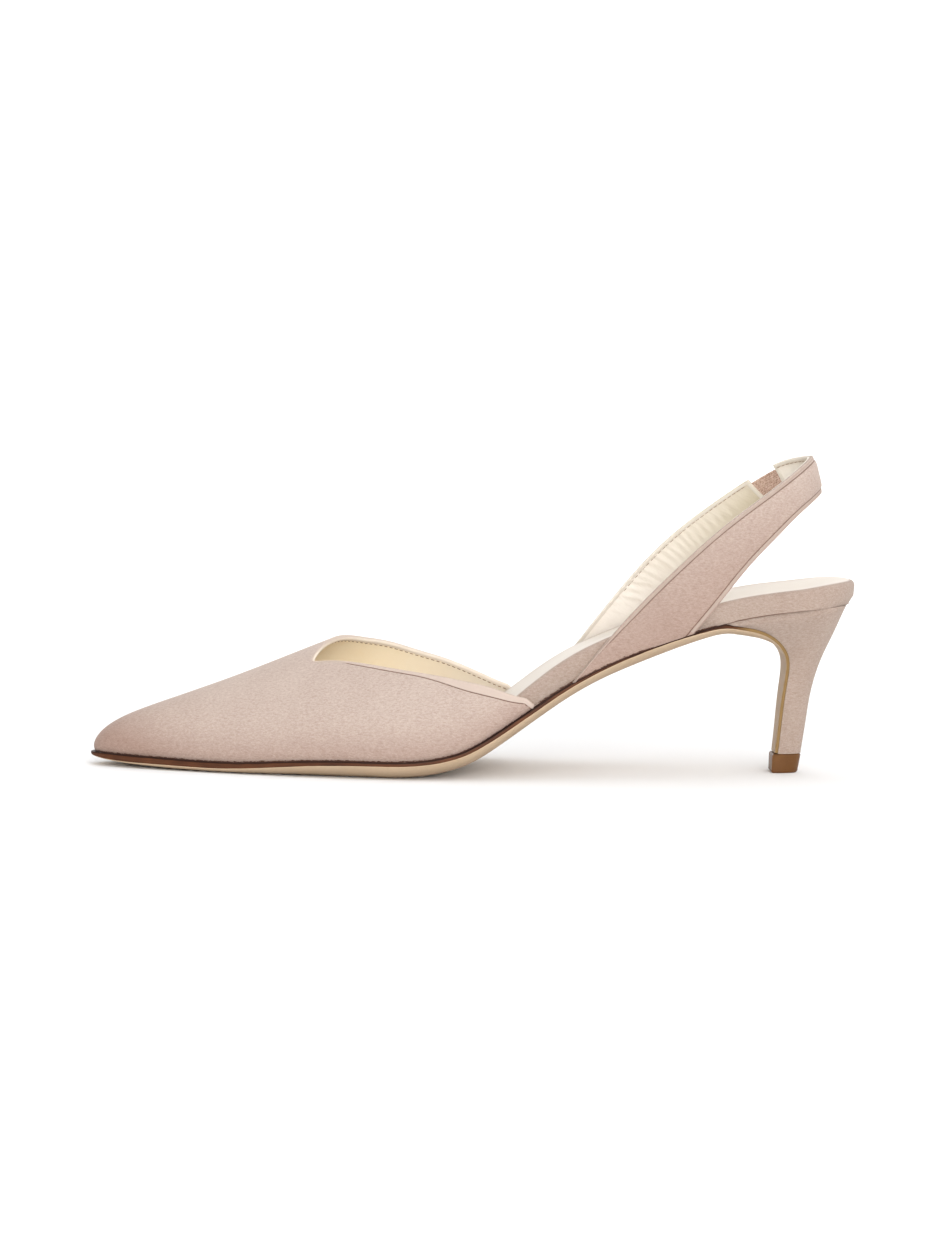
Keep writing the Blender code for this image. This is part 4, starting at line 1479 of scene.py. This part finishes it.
@dataclass
class Straps:
    """Sling strap, tab and elastic, with suede outside, lining inside and bound edges."""

    suede_depth: float = 0.9
    fine: tuple[float, ...] = (0.0, 0.3, 0.6, 0.8, 1.0, 1.2, 1.4, 1.7, 2.2, 3.0)
    middle_columns: int = 24
    lateral_rows: int = 220
    loop_rows: int = 44
    tab_rows: int = 200
    seam: Seam = Seam(depth=0.26, share=0.85, fade=0.3, fade_lips=(0.4, 0.8))
    top_binding: Binding = Binding(wall=STRAP_WALL, inside=1.25, rise=0.12)
    bottom_binding: Binding = Binding(wall=STRAP_WALL, inside=1.1, rise=0.12)
    end_binding: Binding = Binding(wall=STRAP_WALL, inside=1.3, rise=0.3)
    top_lips: tuple[float, float] = (0.35, 1.25)
    bottom_lip: float = 1.35
    end_lip: float = 0.8
    stitching: Stitching = Stitching(length=1.85, thickness=0.2)
    seam_stitching: Stitching = Stitching()
    stitch_inset: float = 0.15
    seam_sink: float = 0.2
    seam_inset: float = 0.06
    lip_reach: tuple[float, float] = (6.0, 32.0)
    sewn_from: float = 38.0
    edge_roll: float = 0.8
    edge_roll_width: float = 1.6
    edge_roll_shares: tuple[float, float] = (0.6, 0.98)
    bottom_roll: float = 0.8
    wrinkle_width: float = 0.75
    wrinkle_depth: float = 0.9
    wrinkle_reach: float = 1.15
    ridge: float = 0.6
    ridge_off: float = 1.7
    ribs: int = 15
    rib_height: float = 0.10
    rib_columns: int = 8
    elastic_rows: int = 40
    elastic_wall: float = 1.0
    elastic_tuck: float = 0.05
    # painted shade on the strap's suede, darkest at its foot and gone at shade_reach along it
    shade: float = 0.85
    shade_reach: float = 110.0
    stain_end: tuple[float, float] = (184.0, 192.0)
    tab_end: float = 0.768
    # painted shade of the linings: the run over which it grows, and its strength on strap and tab
    lining_shade: tuple[float, float] = (8.0, 88.0)
    sling_dim: float = 0.2
    tab_dim: float = 1.0
    end_skew: float = 0.022
    skew_power: int = 4

    def grid(self, parts: Sequence[tuple[Side, float, float, int]]) -> BandGrid:
        """Grid over stretches of the strap, one after the other.

        Args:
            parts: Side, first share, last share and rows of each stretch.

        Returns:
            The joined grid.
        """
        form = StrapForm()
        points, rolls = [], []
        for number, (side, start, end, rows) in enumerate(parts):
            first, last = 1 - math.sqrt(1 - start), 1 - math.sqrt(1 - end)
            shares = 1 - (1 - np.linspace(first, last, rows + 1)) ** 2
            if number:
                shares = shares[1:]
            top, bottom = (form.at(side, shares, across) for across in (0.0, 1.0))
            width = np.linalg.norm(bottom - top, axis=-1)
            near, far = (
                np.array(self.fine)[None, :] / (width * self.bite(edge, bottom - top))[:, None]
                for edge in (top, bottom)
            )
            inner = np.linspace(0, 1, self.middle_columns + 2)[None, 1:-1]
            middle = blend(near[:, -1:], 1 - far[:, -1:], inner)
            across = np.concatenate([near, middle, 1 - far[:, ::-1]], axis=1)
            run = (shares - start) / (end - start) if end < 1 else 0 * shares
            skew = self.end_skew * np.clip(run, 0.0, 1.0) ** self.skew_power
            points.append(form.at(side, shares[:, None] - skew[:, None] * across, across))
            rolls.append(smooth_step(*self.edge_roll_shares, shares))
        grid = np.concatenate(points)
        width = lengths_along(grid)
        from_top = width * self.bite(grid[:, 0], grid[:, 1] - grid[:, 0])[:, None]
        from_bottom = (width[:, -1:] - width) * self.bite(grid[:, -1], grid[:, -2] - grid[:, -1])[:, None]
        edges = bell(from_top, self.edge_roll_width)
        edges = edges + self.bottom_roll * bell(from_bottom, self.edge_roll_width)
        roll = self.edge_roll * edges * np.concatenate(rolls)[:, None]
        grid = grid + roll[..., None] * self.inward(grid)
        run = lengths_along(grid.transpose(1, 0, 2)).T
        return BandGrid(grid, self.inward(grid), run, from_top, from_bottom)

    def bite(self, edge: Array, across: Array) -> Array:
        """Sine of the angle between an edge and the rows that run in from it."""
        along = unit(np.gradient(edge, axis=0))
        return np.linalg.norm(np.cross(along, unit(across)), axis=-1)

    def inward(self, grid: Array) -> Array:
        """Normals of a grid, towards the foot."""
        normals = unit(np.cross(np.gradient(grid, axis=0), np.gradient(grid, axis=1)))
        return -normals if np.sum(normals[..., 1] * grid[..., 1]) > 0 else normals

    def wrinkles(self, points: Array) -> Array:
        """Depth of the lining's wrinkles, in millimetres."""
        depth = np.zeros(points.shape[:-1])
        for fold in STRAP_WRINKLES:
            slant = math.radians(fold.slant)
            ahead, up = points[..., 0] - fold.station, points[..., 2] - fold.height
            along = ahead * math.cos(slant) + up * math.sin(slant)
            off = (up * math.cos(slant) - ahead * math.sin(slant)) / self.wrinkle_width
            trough = bell(off, 1.0) - self.ridge * bell(off - self.ridge_off, 1.0)
            depth += self.wrinkle_depth * fold.depth * trough * bell(along, self.wrinkle_reach * fold.reach)
        return depth

    def top_lip(self, band: BandGrid) -> Array:
        """Width of the upper binding's outer lip along a band."""
        return blend(*self.top_lips, smooth_step(*self.lip_reach, band.run[:, 0]))

    def shells(self, name: str, band: BandGrid, dim: float, wardrobe: Wardrobe) -> None:
        """Suede and lining of one band.

        Args:
            name: The solid that the band stands for, and the start of its pieces' names.
            band: The band's grid.
            dim: How far painted shade darkens the lining towards its end.
            wardrobe: Dresses the pieces.
        """
        lip = self.top_lip(band)[:, None]
        from_seam = np.minimum(
            self.seam.distance(band.from_top, lip),
            self.seam.distance(band.from_bottom, self.bottom_lip),
        )
        outside = band.points + self.seam.dip(from_seam)[..., None] * band.inward
        middle = band.points + self.suede_depth * band.inward
        rings = wall_rings(outside, middle)
        station = band.points[..., 0]
        near = nearness(band.points[..., 2] - LAST.height(station), SOLE_REACH)
        fields = {
            "seam_near": self.seam.near(from_seam),
            # painted shade, darkest at the strap's foot
            "shade": self.shade * nearness(band.run, self.shade_reach),
            "sole_near": near * (1 - smooth_step(*self.stain_end, station)),
        }
        both = {key: np.concatenate([value, 0 * value], axis=1) for key, value in fields.items()}
        suede = MeshMaker(f"{name}_suede").add(rings, caps=(True, True), **both).build()
        wardrobe.dress(suede, SUEDE, [name])
        inside = band.points + (STRAP_WALL - self.wrinkles(band.points))[..., None] * band.inward
        rings = wall_rings(middle + LAYER_GAP * band.inward, inside)
        # painted shade on the lining, growing along the band
        shade = dim * smooth_step(*self.lining_shade, np.concatenate([band.run, band.run], axis=1))
        lining = MeshMaker(f"{name}_lining").add(rings, caps=(True, True), shade=shade).build()
        wardrobe.dress(lining, STRAP_LINING)

    def edges(self, name: str, band: BandGrid, wardrobe: Wardrobe) -> None:
        """Bindings and stitches of one band, whose last row lies beside the elastic.

        Args:
            name: Start of the pieces' names.
            band: The band's grid.
            wardrobe: Dresses the pieces.
        """
        points, inward = band.points, band.inward
        strip = MeshMaker(f"{name}_binding")
        stitches = MeshMaker(f"{name}_stitches")
        seam = MeshMaker(f"{name}_seam_stitches")
        sides = (
            (0, 1, self.top_binding, self.top_lip(band)),
            (-1, -2, self.bottom_binding, self.bottom_lip),
        )
        for column, inner, binding, lip in sides:
            outs = points[:, column] - points[:, inner]
            line = EdgeLine.along(points[:, column], -inward[:, column], outs)
            binding.add(strip, line, lip)
            row = line.at(-STRAP_WALL - LAYER_GAP, -binding.inside - self.stitch_inset)
            sewn = band.run[:, column] > self.sewn_from
            self.stitching.lay(stitches, row[sewn], -line.normals[sewn])
            row = line.at(-self.seam_sink, -lip - self.seam_inset)
            self.seam_stitching.lay(seam, row, line.normals)
        line = EdgeLine.along(points[-1], -inward[-1], points[-1] - points[-2])
        self.end_binding.add(strip, line, self.end_lip)
        wardrobe.dress(strip.build(), SHADED_STRAP_BINDING)
        wardrobe.dress(stitches.build(), STRAP_THREAD)
        wardrobe.dress(seam.build(), SEAM_THREAD)

    def elastic(self, wardrobe: Wardrobe) -> None:
        """Ribbed gore that runs in under the ends of tab and strap."""
        form = StrapForm()
        ends = (ELASTIC_SPAN[0] - self.elastic_tuck, ELASTIC_SPAN[1] + self.elastic_tuck)
        shares = np.linspace(*ends, self.elastic_rows + 1)
        across = np.linspace(*ELASTIC_SHARE, self.ribs * self.rib_columns + 1)
        grid = form.at(Side.MEDIAL, shares[:, None], across[None, :])
        inward = self.inward(grid)
        rib = np.sqrt(0.5 - 0.5 * np.cos(np.linspace(0, 2 * math.pi * self.ribs, len(across))))
        rib = np.broadcast_to(rib, grid.shape[:2])
        start = (STRAP_WALL - self.elastic_wall) / 2
        outside = grid + (start - self.rib_height * rib)[..., None] * inward
        inside = grid + (start + self.elastic_wall + self.rib_height * rib)[..., None] * inward
        maker = MeshMaker("elastic_gore")
        maker.add(wall_rings(outside, inside), caps=(True, True), rib=wall_rings(rib, rib))
        piece = maker.build()
        wardrobe.dress(piece, WEBBING, ["strap_elastic"])

    def build(self, wardrobe: Wardrobe) -> None:
        """Make and dress the straps."""
        margin = GAP / LENGTH
        sling = self.grid([
            (Side.LATERAL, 0.0, 1.0, self.lateral_rows),
            (Side.MEDIAL, 1.0, ELASTIC_SPAN[1] + margin, self.loop_rows),
        ])
        tab = self.grid([(Side.MEDIAL, 0.0, self.tab_end, self.tab_rows)])
        for name, band, dim in (("sling_strap", sling, self.sling_dim), ("sling_tab", tab, self.tab_dim)):
            self.shells(name, band, dim, wardrobe)
            self.edges(name, band, wardrobe)
        self.elastic(wardrobe)


@dataclass
class Sole:
    """Leather outsole: dark dressed edge, tan bevel and tread, and the flap down the heel breast."""

    tread_rows: int = 170
    flap_rows: int = 110
    bevel_steps: int = 9
    bulge: float = 0.07
    line_depth: float = 0.10
    top_corners: tuple[tuple[float, float], ...] = ((1.2, 0.0), (0.2, 0.0), (0.06, 0.03), (0.0, 0.12))
    dark_foot: tuple[float, float] = (-0.02, 0.06)
    line_width: float = 0.08
    line_share: float = 0.3
    tread_shares: tuple[float, ...] = (0.25, 0.5, 0.75)
    flap_dark: float = 1.0
    dark_places: tuple[float, float] = (-1.0, 0.3)
    thin_places: tuple[float, float] = (0.5, 3.2)
    lift_places: tuple[float, float] = (-0.06, -0.5)
    flap_places: tuple[float, float] = (-0.2, 0.8)

    def profile(self, thickness: float, bevel: float, dark: float) -> list[tuple[float, float]]:
        """Corners of the edge as insets and depths, from the top round to the tread."""
        corners = [*self.top_corners, (-self.bulge, dark * 0.5)]
        start = dark + self.line_width
        corners += [(self.dark_foot[0], dark - self.dark_foot[1]), (self.line_depth, dark)]
        corners.append((self.line_depth * self.line_share, start))
        for k in range(1, self.bevel_steps + 1):
            turn = math.pi / 2 * k / self.bevel_steps
            corners.append((bevel * (1 - math.cos(turn)), blend(start, thickness, math.sin(turn))))
        return corners

    def ring(self, edges: dict[Side, tuple[Array, Array]], through: Array, thickness: float,
             bevel: float, dark: float, lift: float) -> tuple[Array, Array]:
        """One section of the sole.

        Args:
            edges: Edge point on the top of the sole and inward direction, for each side.
            through: Direction down through the sole.
            thickness: Its thickness.
            bevel: Width of its bevel.
            dark: Height of its dark edge.
            lift: How far the top stands over the sole's own line.

        Returns:
            Ring of points, and how far each lies below the top and below the dark edge.
        """
        halves, depths = [], []
        for side in Side:
            point, inward = edges[side]
            half, down = [], []
            for inset, depth in self.profile(thickness, bevel, dark):
                drop = depth - lift * max(0.0, 1 - depth / dark)
                corner = point + inset * inward + drop * through
                corner[2] = max(corner[2], 0.0)
                half.append(corner)
                down.append(depth)
            halves.append(half)
            depths.append(down)
        inner = [blend(halves[0][-1], halves[1][-1], share) for share in self.tread_shares]
        points = halves[0] + inner + halves[1][::-1]
        below = np.array(depths[0] + [thickness] * len(inner) + depths[1][::-1])
        return np.array(points), np.stack([below, below - dark])

    def tread_ring(self, sweep: float) -> tuple[Array, Array]:
        """Section of the sole under the foot."""
        station = float(station_of(sweep))
        _, thickness, bevel, dark = LAST.seat(station)
        slope = float(LAST.slope(station))
        through = np.array([slope, 0.0, -1.0]) / math.hypot(slope, 1.0)
        edges = {}
        for side in Side:
            normal = LAST.edge_normal(sweep, side)
            place, y = LAST.edge(sweep, side, -SOLE_OVERHANG)
            inward = -np.array([normal[0], side.value * normal[1], normal[0] * slope])
            edges[side] = (np.array([place, y, float(LAST.height(place))]), inward)
        return self.ring(edges, through, thickness, bevel, dark, 0.0)

    def waist_line(self, station: float) -> Array:
        """Line of the sole in the waist: station, height and half widths."""
        sweep = sweep_of(station)
        widths = [float(LAST.half_width(sweep, side)) + SOLE_OVERHANG for side in Side]
        return np.array([station, float(LAST.height(station))] + widths)

    def breast_line(self, level: float) -> Array:
        """Line of the sole in front of a level of the heel, in the same columns."""
        front = HeelLevel(*HEEL_LEVELS(level))
        along = (HEEL_LEVELS(level + STEP) - HEEL_LEVELS(level - STEP))[:2]
        away = np.array([along[1], -along[0]]) / np.linalg.norm(along)
        place = np.array([front.front, front.front_height]) + CONTACT * away
        return np.array([*place, front.half_width, front.half_width])

    def flap_line(self, place: float) -> Array:
        """Line of the sole from the waist at -1 to the heel's top at 0, then down its breast."""
        if place >= 0:
            return self.breast_line(place)
        start, end = self.waist_line(SOLE_JOIN), self.breast_line(0)
        reach = end[0] - start[0]
        start_pull = (self.waist_line(SOLE_JOIN + 1) - start) * reach
        step = self.breast_line(STEP) - end
        end_pull = step / step[0] * reach
        u = place + 1
        weights = (2 * u**3 - 3 * u**2 + 1, u**3 - 2 * u**2 + u, 3 * u**2 - 2 * u**3, u**3 - u**2)
        return sum(w * v for w, v in zip(weights, (start, start_pull, end, end_pull)))

    def flap_ring(self, place: float) -> tuple[Array, Array]:
        """Section of the sole where it turns down and covers the breast."""
        station, height, *widths = self.flap_line(place)
        ahead = (self.flap_line(place + STEP) - self.flap_line(place - STEP))[:2]
        through = np.array([ahead[1], 0.0, -ahead[0]]) / np.linalg.norm(ahead)
        share = float(smooth_step(*self.thin_places, place))
        _, thickness, bevel, dark = LAST.seat(SOLE_JOIN)
        seat = float(LAST.height(station)) if place < 0 else height
        lift = max(0.0, seat - height) * float(smooth_step(*self.lift_places, place))
        edges = {}
        for side, width in zip(Side, widths):
            edges[side] = (np.array([station, side.value * width, height]), np.array([0.0, -side.value, 0.0]))
        thickness = blend(thickness, FLAP_THICKNESS, share)
        bevel = blend(bevel, FLAP_BEVEL, share)
        dark = blend(dark, self.flap_dark, float(smooth_step(*self.dark_places, place)))
        return self.ring(edges, through, thickness, bevel, dark, lift)

    def build(self, wardrobe: Wardrobe) -> None:
        """Make and dress the outsole."""
        end = float(sweep_of(SOLE_JOIN))
        rows = [self.tread_ring(end * k / self.tread_rows) for k in range(self.tread_rows + 1)]
        flaps = [0.0] * len(rows)
        for k in range(1, self.flap_rows + 1):
            place = blend(-1, HEEL_END, k / self.flap_rows)
            rows.append(self.flap_ring(place))
            flaps.append(float(smooth_step(*self.flap_places, place)))
        rings = np.array([row[0] for row in rows])
        below = np.array([row[1] for row in rows])
        maker = MeshMaker("outsole_leather")
        fields = {"below_top": below[:, 0], "below_dark": below[:, 1], "flap": np.array(flaps)[:, None]}
        maker.add(rings, caps=(False, True), **fields)
        wardrobe.dress(maker.build(), SOLE_LEATHER, ["outsole"])


def seam_fade(station: Any) -> Array:
    """How plain the seam over the heel is: full at its front, faint at the back."""
    return 1 - SEAM_PALE * smooth_step(*SEAM_PALE_STATIONS, station)


@dataclass
class Footbed:
    """Insole with a suede-wrapped rim, and the leather sock on it."""

    rows: int = 150
    rim_round: float = 1.7
    rim_rise: float = 0.9
    sock_round: float = 0.4
    sock_inset: float = 1.5
    sock_rise: float = 1.0
    sock_edge_shade: float = 0.7
    undercut: float = 2.0
    undercut_stations: tuple[float, float] = (236.0, 253.0)
    tilt: float = 1.3
    tilt_stations: tuple[float, float, float, float] = (120.0, 146.0, 172.0, 205.0)
    back_rise: float = 0.9
    back_stations: tuple[float, float] = (232.0, 251.0)
    stain: float = 0.85
    stain_stations: tuple[float, float, float, float] = (134.0, 145.0, 165.0, 180.0)
    heel_stations: tuple[float, float] = (206.0, 213.0)
    edge_shade_start: float = 0.86
    round_steps: int = 6
    wall_middle: tuple[float, float, float] = (0.85, 0.85, 0.45)
    across: tuple[float, ...] = (-0.95, -0.9, -0.75, -0.5, -0.25, 0.0, 0.25, 0.5, 0.75, 0.9, 0.95)

    def inset(self, sweep: Array) -> Array:
        """How far the insole's edge lies inside the lasted outline."""
        return RIM_INSET + INSOLE_EASE * (1 - smooth_step(*RIM_FREE, station_of(sweep)))

    def face(self, station: Array, share: float) -> Array:
        """Height of the footbed before any cover, tilted in the waist and raised at the back."""
        tilt = self.tilt * share * plateau(self.tilt_stations, station)
        lift = self.back_rise * smooth_step(*self.back_stations, station) - tilt
        return LAST.insole_top(station, share) + lift

    def board(self, name: str, front: float, extra: float, radius: float, bottom: Optional[float],
              top: float, fade: float) -> bpy.types.Object:
        """Board inside the lasted outline.

        Args:
            name: Name of the piece.
            front: Station of its front end.
            extra: Inset beside the insole's own edge.
            radius: Rounding of its upper edge.
            bottom: Lower face over the insole's top, or None for one that stands on the sole.
            top: Upper face over the insole's top.
            fade: How far painted shade darkens its cover towards the edge.

        Returns:
            The object.
        """
        sweep = np.linspace(float(sweep_of(front)), math.pi, self.rows + 1)
        turns = np.linspace(0, math.pi / 2, self.round_steps + 1)
        insets = [radius * (1 - math.cos(turn)) for turn in turns]
        drops = [radius * (1 - math.sin(turn)) for turn in turns]
        uppers, lowers = [], []
        base = self.inset(sweep) + extra
        under = self.undercut * smooth_step(*self.undercut_stations, station_of(sweep))
        edges = {side: LAST.edge(sweep, side, base + insets[-1]) for side in Side}
        columns = [(Side.LATERAL, k, -1.0) for k in range(len(insets))]
        columns += [(None, 0, share) for share in self.across]
        columns += [(Side.MEDIAL, k, 1.0) for k in reversed(range(len(insets)))]
        for side, k, share in columns:
            drop = 0.0
            if side is None:
                left, right = edges[Side.LATERAL], edges[Side.MEDIAL]
                station, y = (blend(left[axis], right[axis], (share + 1) / 2) for axis in range(2))
            else:
                station, y = LAST.edge(sweep, side, base + insets[k])
                drop = drops[k]
            foot = (station, y)
            if bottom is None and side is not None:
                foot = LAST.edge(sweep, side, base + insets[k] + under)
            face = self.face(station, share)
            low = face + bottom if bottom is not None else LAST.height(foot[0]) + CONTACT
            uppers.append(np.stack([station, y, face + top - drop], axis=-1))
            lowers.append(np.stack([*foot, low], axis=-1))
        walls = [blend(lowers[k], uppers[k], np.array(self.wall_middle)) for k in (-1, 0)]
        rings = np.stack([*uppers, walls[0], *lowers[::-1], walls[1]], axis=1)
        station = rings[..., 0]
        soaked = self.stain * plateau(self.stain_stations, station)
        rise = rings[..., 2] - LAST.height(station) - CONTACT
        on_heel = smooth_step(*self.heel_stations, station)
        shares = [abs(share) for _, _, share in columns]
        edge = smooth_step(self.edge_shade_start, 1.0, np.array(shares + [1.0] + shares[::-1] + [1.0]))
        fields = {
            "sole_near": nearness(rise - soaked, SOLE_REACH) * (1 - on_heel),
            "seam_near": nearness(rise, SEAM_REACH) * on_heel * seam_fade(station),
            # painted shade towards the sock's edge
            "shade": fade * edge[None, :],
        }
        return MeshMaker(name).add(rings, caps=(True, False), **fields).build()

    def build(self, wardrobe: Wardrobe) -> None:
        """Make and dress insole and sock."""
        rim = self.board("insole_rim", INSOLE_FRONT, 0.0, self.rim_round, None, self.rim_rise, 0.0)
        wardrobe.dress(rim, SHADED_COVER_SUEDE, ["insole"])
        sizes = (self.sock_inset, self.sock_round, CONTACT, self.sock_rise)
        sock = self.board("sock_lining", SOCK_FRONT, *sizes, self.sock_edge_shade)
        wardrobe.dress(sock, SOCK_LEATHER, ["sock"])


@dataclass
class Heel:
    """Suede-covered heel and its top piece."""

    rows: int = 90
    columns: int = 36
    lift_rows: int = 12
    lift_bevel: float = 0.45
    lift_columns: int = 20
    lift_sharp: float = 35.0

    def ring(self, level: HeelLevel, columns: int, shrink: float = 0.0) -> Array:
        """D-shaped section, flat at the breast and round at the back.

        Args:
            level: Sizes of the section.
            columns: Points from the middle of the back to one corner.
            shrink: How far it is drawn in all round.

        Returns:
            Ring of points.
        """
        k = np.arange(-columns, columns + 1)
        turn = np.pi / 2 * (1 - np.abs(k) / columns)
        depth = np.sin(turn) ** (2 / level.fullness)
        y = np.sign(k) * (level.half_width - shrink) * np.cos(turn) ** (2 / level.fullness)
        station = blend(level.front + shrink, level.back - shrink, depth)
        return np.stack([station, y, blend(level.front_height, level.back_height, depth)], axis=-1)

    def cover(self) -> bpy.types.Object:
        """The covered heel, its top cut to the seat line."""
        top = self.ring(HEEL_SEAT, self.columns)
        top[:, 2] = LAST.height(top[:, 0])
        rings = [top]
        for k in range(self.rows + 1):
            level = HeelLevel(*HEEL_LEVELS(HEEL_END * k / self.rows))
            rings.append(self.ring(level, self.columns))
        rings[-1][:, 2] = TOP_PIECE_HEIGHT + CONTACT
        points = np.array(rings)
        near = nearness(LAST.height(points[..., 0]) - points[..., 2], SEAM_REACH)
        near = near * seam_fade(points[..., 0])
        return MeshMaker("heel_cover").add(points, caps=(True, True), seam_near=near).build()

    def top_piece(self) -> bpy.types.Object:
        """Heel lift with softened edges, flat on the floor."""
        upper, lower = TOP_PIECE
        rings = []
        for k in range(self.lift_rows + 1):
            share = k / self.lift_rows
            height = TOP_PIECE_HEIGHT * (1 - share)
            near = min(height, TOP_PIECE_HEIGHT - height)
            out = max(0.0, 1 - near / self.lift_bevel)
            shrink = self.lift_bevel * (1 - math.sqrt(1 - min(1.0, out) ** 2))
            sizes = [blend(a, b, share) for a, b in zip(upper, lower)]
            level = HeelLevel(*sizes)._replace(front_height=height, back_height=height)
            rings.append(self.ring(level, self.lift_columns, shrink))
        return MeshMaker("heel_lift").add(np.array(rings), caps=(True, True)).build(self.lift_sharp)

    def build(self, wardrobe: Wardrobe) -> None:
        """Make and dress the heel."""
        wardrobe.dress(self.cover(), SHADED_COVER_SUEDE, ["heel"])
        wardrobe.dress(self.top_piece(), LIFT, ["top_piece"])


class Lamp(NamedTuple):
    """Area light: place in metres, width and height, watts, what it faces and its beam in degrees."""

    name: str
    place: tuple[float, float, float]
    size: tuple[float, float]
    power: float
    aim: tuple[float, float, float]
    spread: float = 180.0


SHOE_MIDDLE = (0.0, 0.0, 0.051)
LAMPS = [
    Lamp("key", (0.6, -1.2, 1.2), (1.4, 1.2), 9.0, SHOE_MIDDLE),
    Lamp("front", (0.3, -2.3, 0.7), (2.2, 0.9), 3.6, SHOE_MIDDLE, spread=45.0),
    Lamp("top", (0.1, 0.2, 1.6), (1.6, 1.2), 6.0, SHOE_MIDDLE),
    Lamp("backdrop", (0.0, 0.5, 1.3), (2.4, 0.8), 30.0, (0.0, 2.0, 0.9)),
]


@dataclass
class Studio:
    """Pale floor that sweeps up behind, soft lights and the camera."""

    azimuth: float = -2.0
    elevation: float = 4.6
    distance: float = 1.3
    roll: float = 0.9
    focal_pixels: float = 3875.0
    frame_pixels: float = 1234.0
    sensor: float = 36.0
    floor_reach: float = 10.0
    sweep_start: float = 1.2
    sweep_radius: float = 0.8
    sweep_steps: int = 24
    wall_height: float = 2.4
    paper_deep: Colour = (0.90, 0.90, 0.90)
    paper_light: Colour = (0.94, 0.94, 0.94)
    air: float = 0.68

    def floor(self) -> None:
        """Floor and backdrop in one bent sheet."""
        start, radius = self.sweep_start, self.sweep_radius
        depths = [(-self.floor_reach, 0.0)]
        for k in range(self.sweep_steps + 1):
            turn = math.pi / 2 * k / self.sweep_steps
            depths.append((start + radius * math.sin(turn), radius * (1 - math.cos(turn))))
        depths.append((start + radius, self.wall_height))
        points = []
        for depth, height in depths:
            points += [(-self.floor_reach, depth, height), (self.floor_reach, depth, height)]
        faces = [(2 * k, 2 * k + 1, 2 * k + 3, 2 * k + 2) for k in range(len(depths) - 1)]
        mesh = bpy.data.meshes.new("studio_floor")
        mesh.from_pydata(points, [], faces)
        mesh.shade_smooth()
        shader = Shader("studio_paper")
        colour = shader.mix(self.paper_deep, self.paper_light, shader.noise(3.0, 2.0))
        paper = shader.finish({"Base Color": colour, "Roughness": 0.9, "Specular IOR Level": 0.1})
        mesh.materials.append(paper)
        sheet = bpy.data.objects.new("studio_floor", mesh)
        bpy.context.scene.collection.objects.link(sheet)

    def light(self, lamp: Lamp) -> None:
        """Hang an area light.

        Args:
            lamp: Its place, size and power.
        """
        area = bpy.data.lights.new(lamp.name, "AREA")
        area.shape = "RECTANGLE"
        area.size, area.size_y = lamp.size
        area.energy = lamp.power
        area.spread = math.radians(lamp.spread)
        holder = bpy.data.objects.new(lamp.name, area)
        holder.location = lamp.place
        holder.rotation_mode = "QUATERNION"
        holder.rotation_quaternion = (Vector(lamp.aim) - Vector(lamp.place)).to_track_quat("-Z", "Y")
        bpy.context.scene.collection.objects.link(holder)

    def camera(self) -> None:
        """Camera at the photograph's angle."""
        a, e = math.radians(self.azimuth), math.radians(self.elevation)
        back = Vector((math.sin(a) * math.cos(e), -math.cos(a) * math.cos(e), math.sin(e)))
        eye = bpy.data.cameras.new("camera")
        eye.sensor_width = self.sensor
        eye.lens = self.sensor * self.focal_pixels / self.frame_pixels
        holder = bpy.data.objects.new("camera", eye)
        turn = (-back).to_track_quat("-Z", "Y").to_matrix().to_4x4()
        spin = Matrix.Rotation(math.radians(self.roll), 4, "Z")
        holder.matrix_world = Matrix.Translation(Vector(SHOE_MIDDLE) + back * self.distance) @ turn @ spin
        bpy.context.scene.collection.objects.link(holder)
        bpy.context.scene.camera = holder

    def build(self) -> None:
        """Set up floor, light and camera."""
        self.floor()
        self.camera()
        for lamp in LAMPS:
            self.light(lamp)
        world = bpy.data.worlds.new("studio_air")
        world.use_nodes = True
        sky = world.node_tree.nodes["Background"].inputs
        sky["Color"].default_value = full((1.0, 1.0, 1.0))
        sky["Strength"].default_value = self.air
        scene = bpy.context.scene
        scene.world = world
        scene.view_settings.view_transform = "Standard"


def main() -> None:
    """Build the shoe's pieces in a maker's order, then the studio."""
    logging.basicConfig(level=logging.INFO, format="%(name)s: %(message)s")
    wardrobe = Wardrobe()
    for part in (Vamp(), Straps(), Sole(), Footbed(), Heel()):
        part.build(wardrobe)
    Studio().build()


if __name__ == "__main__":
    main()
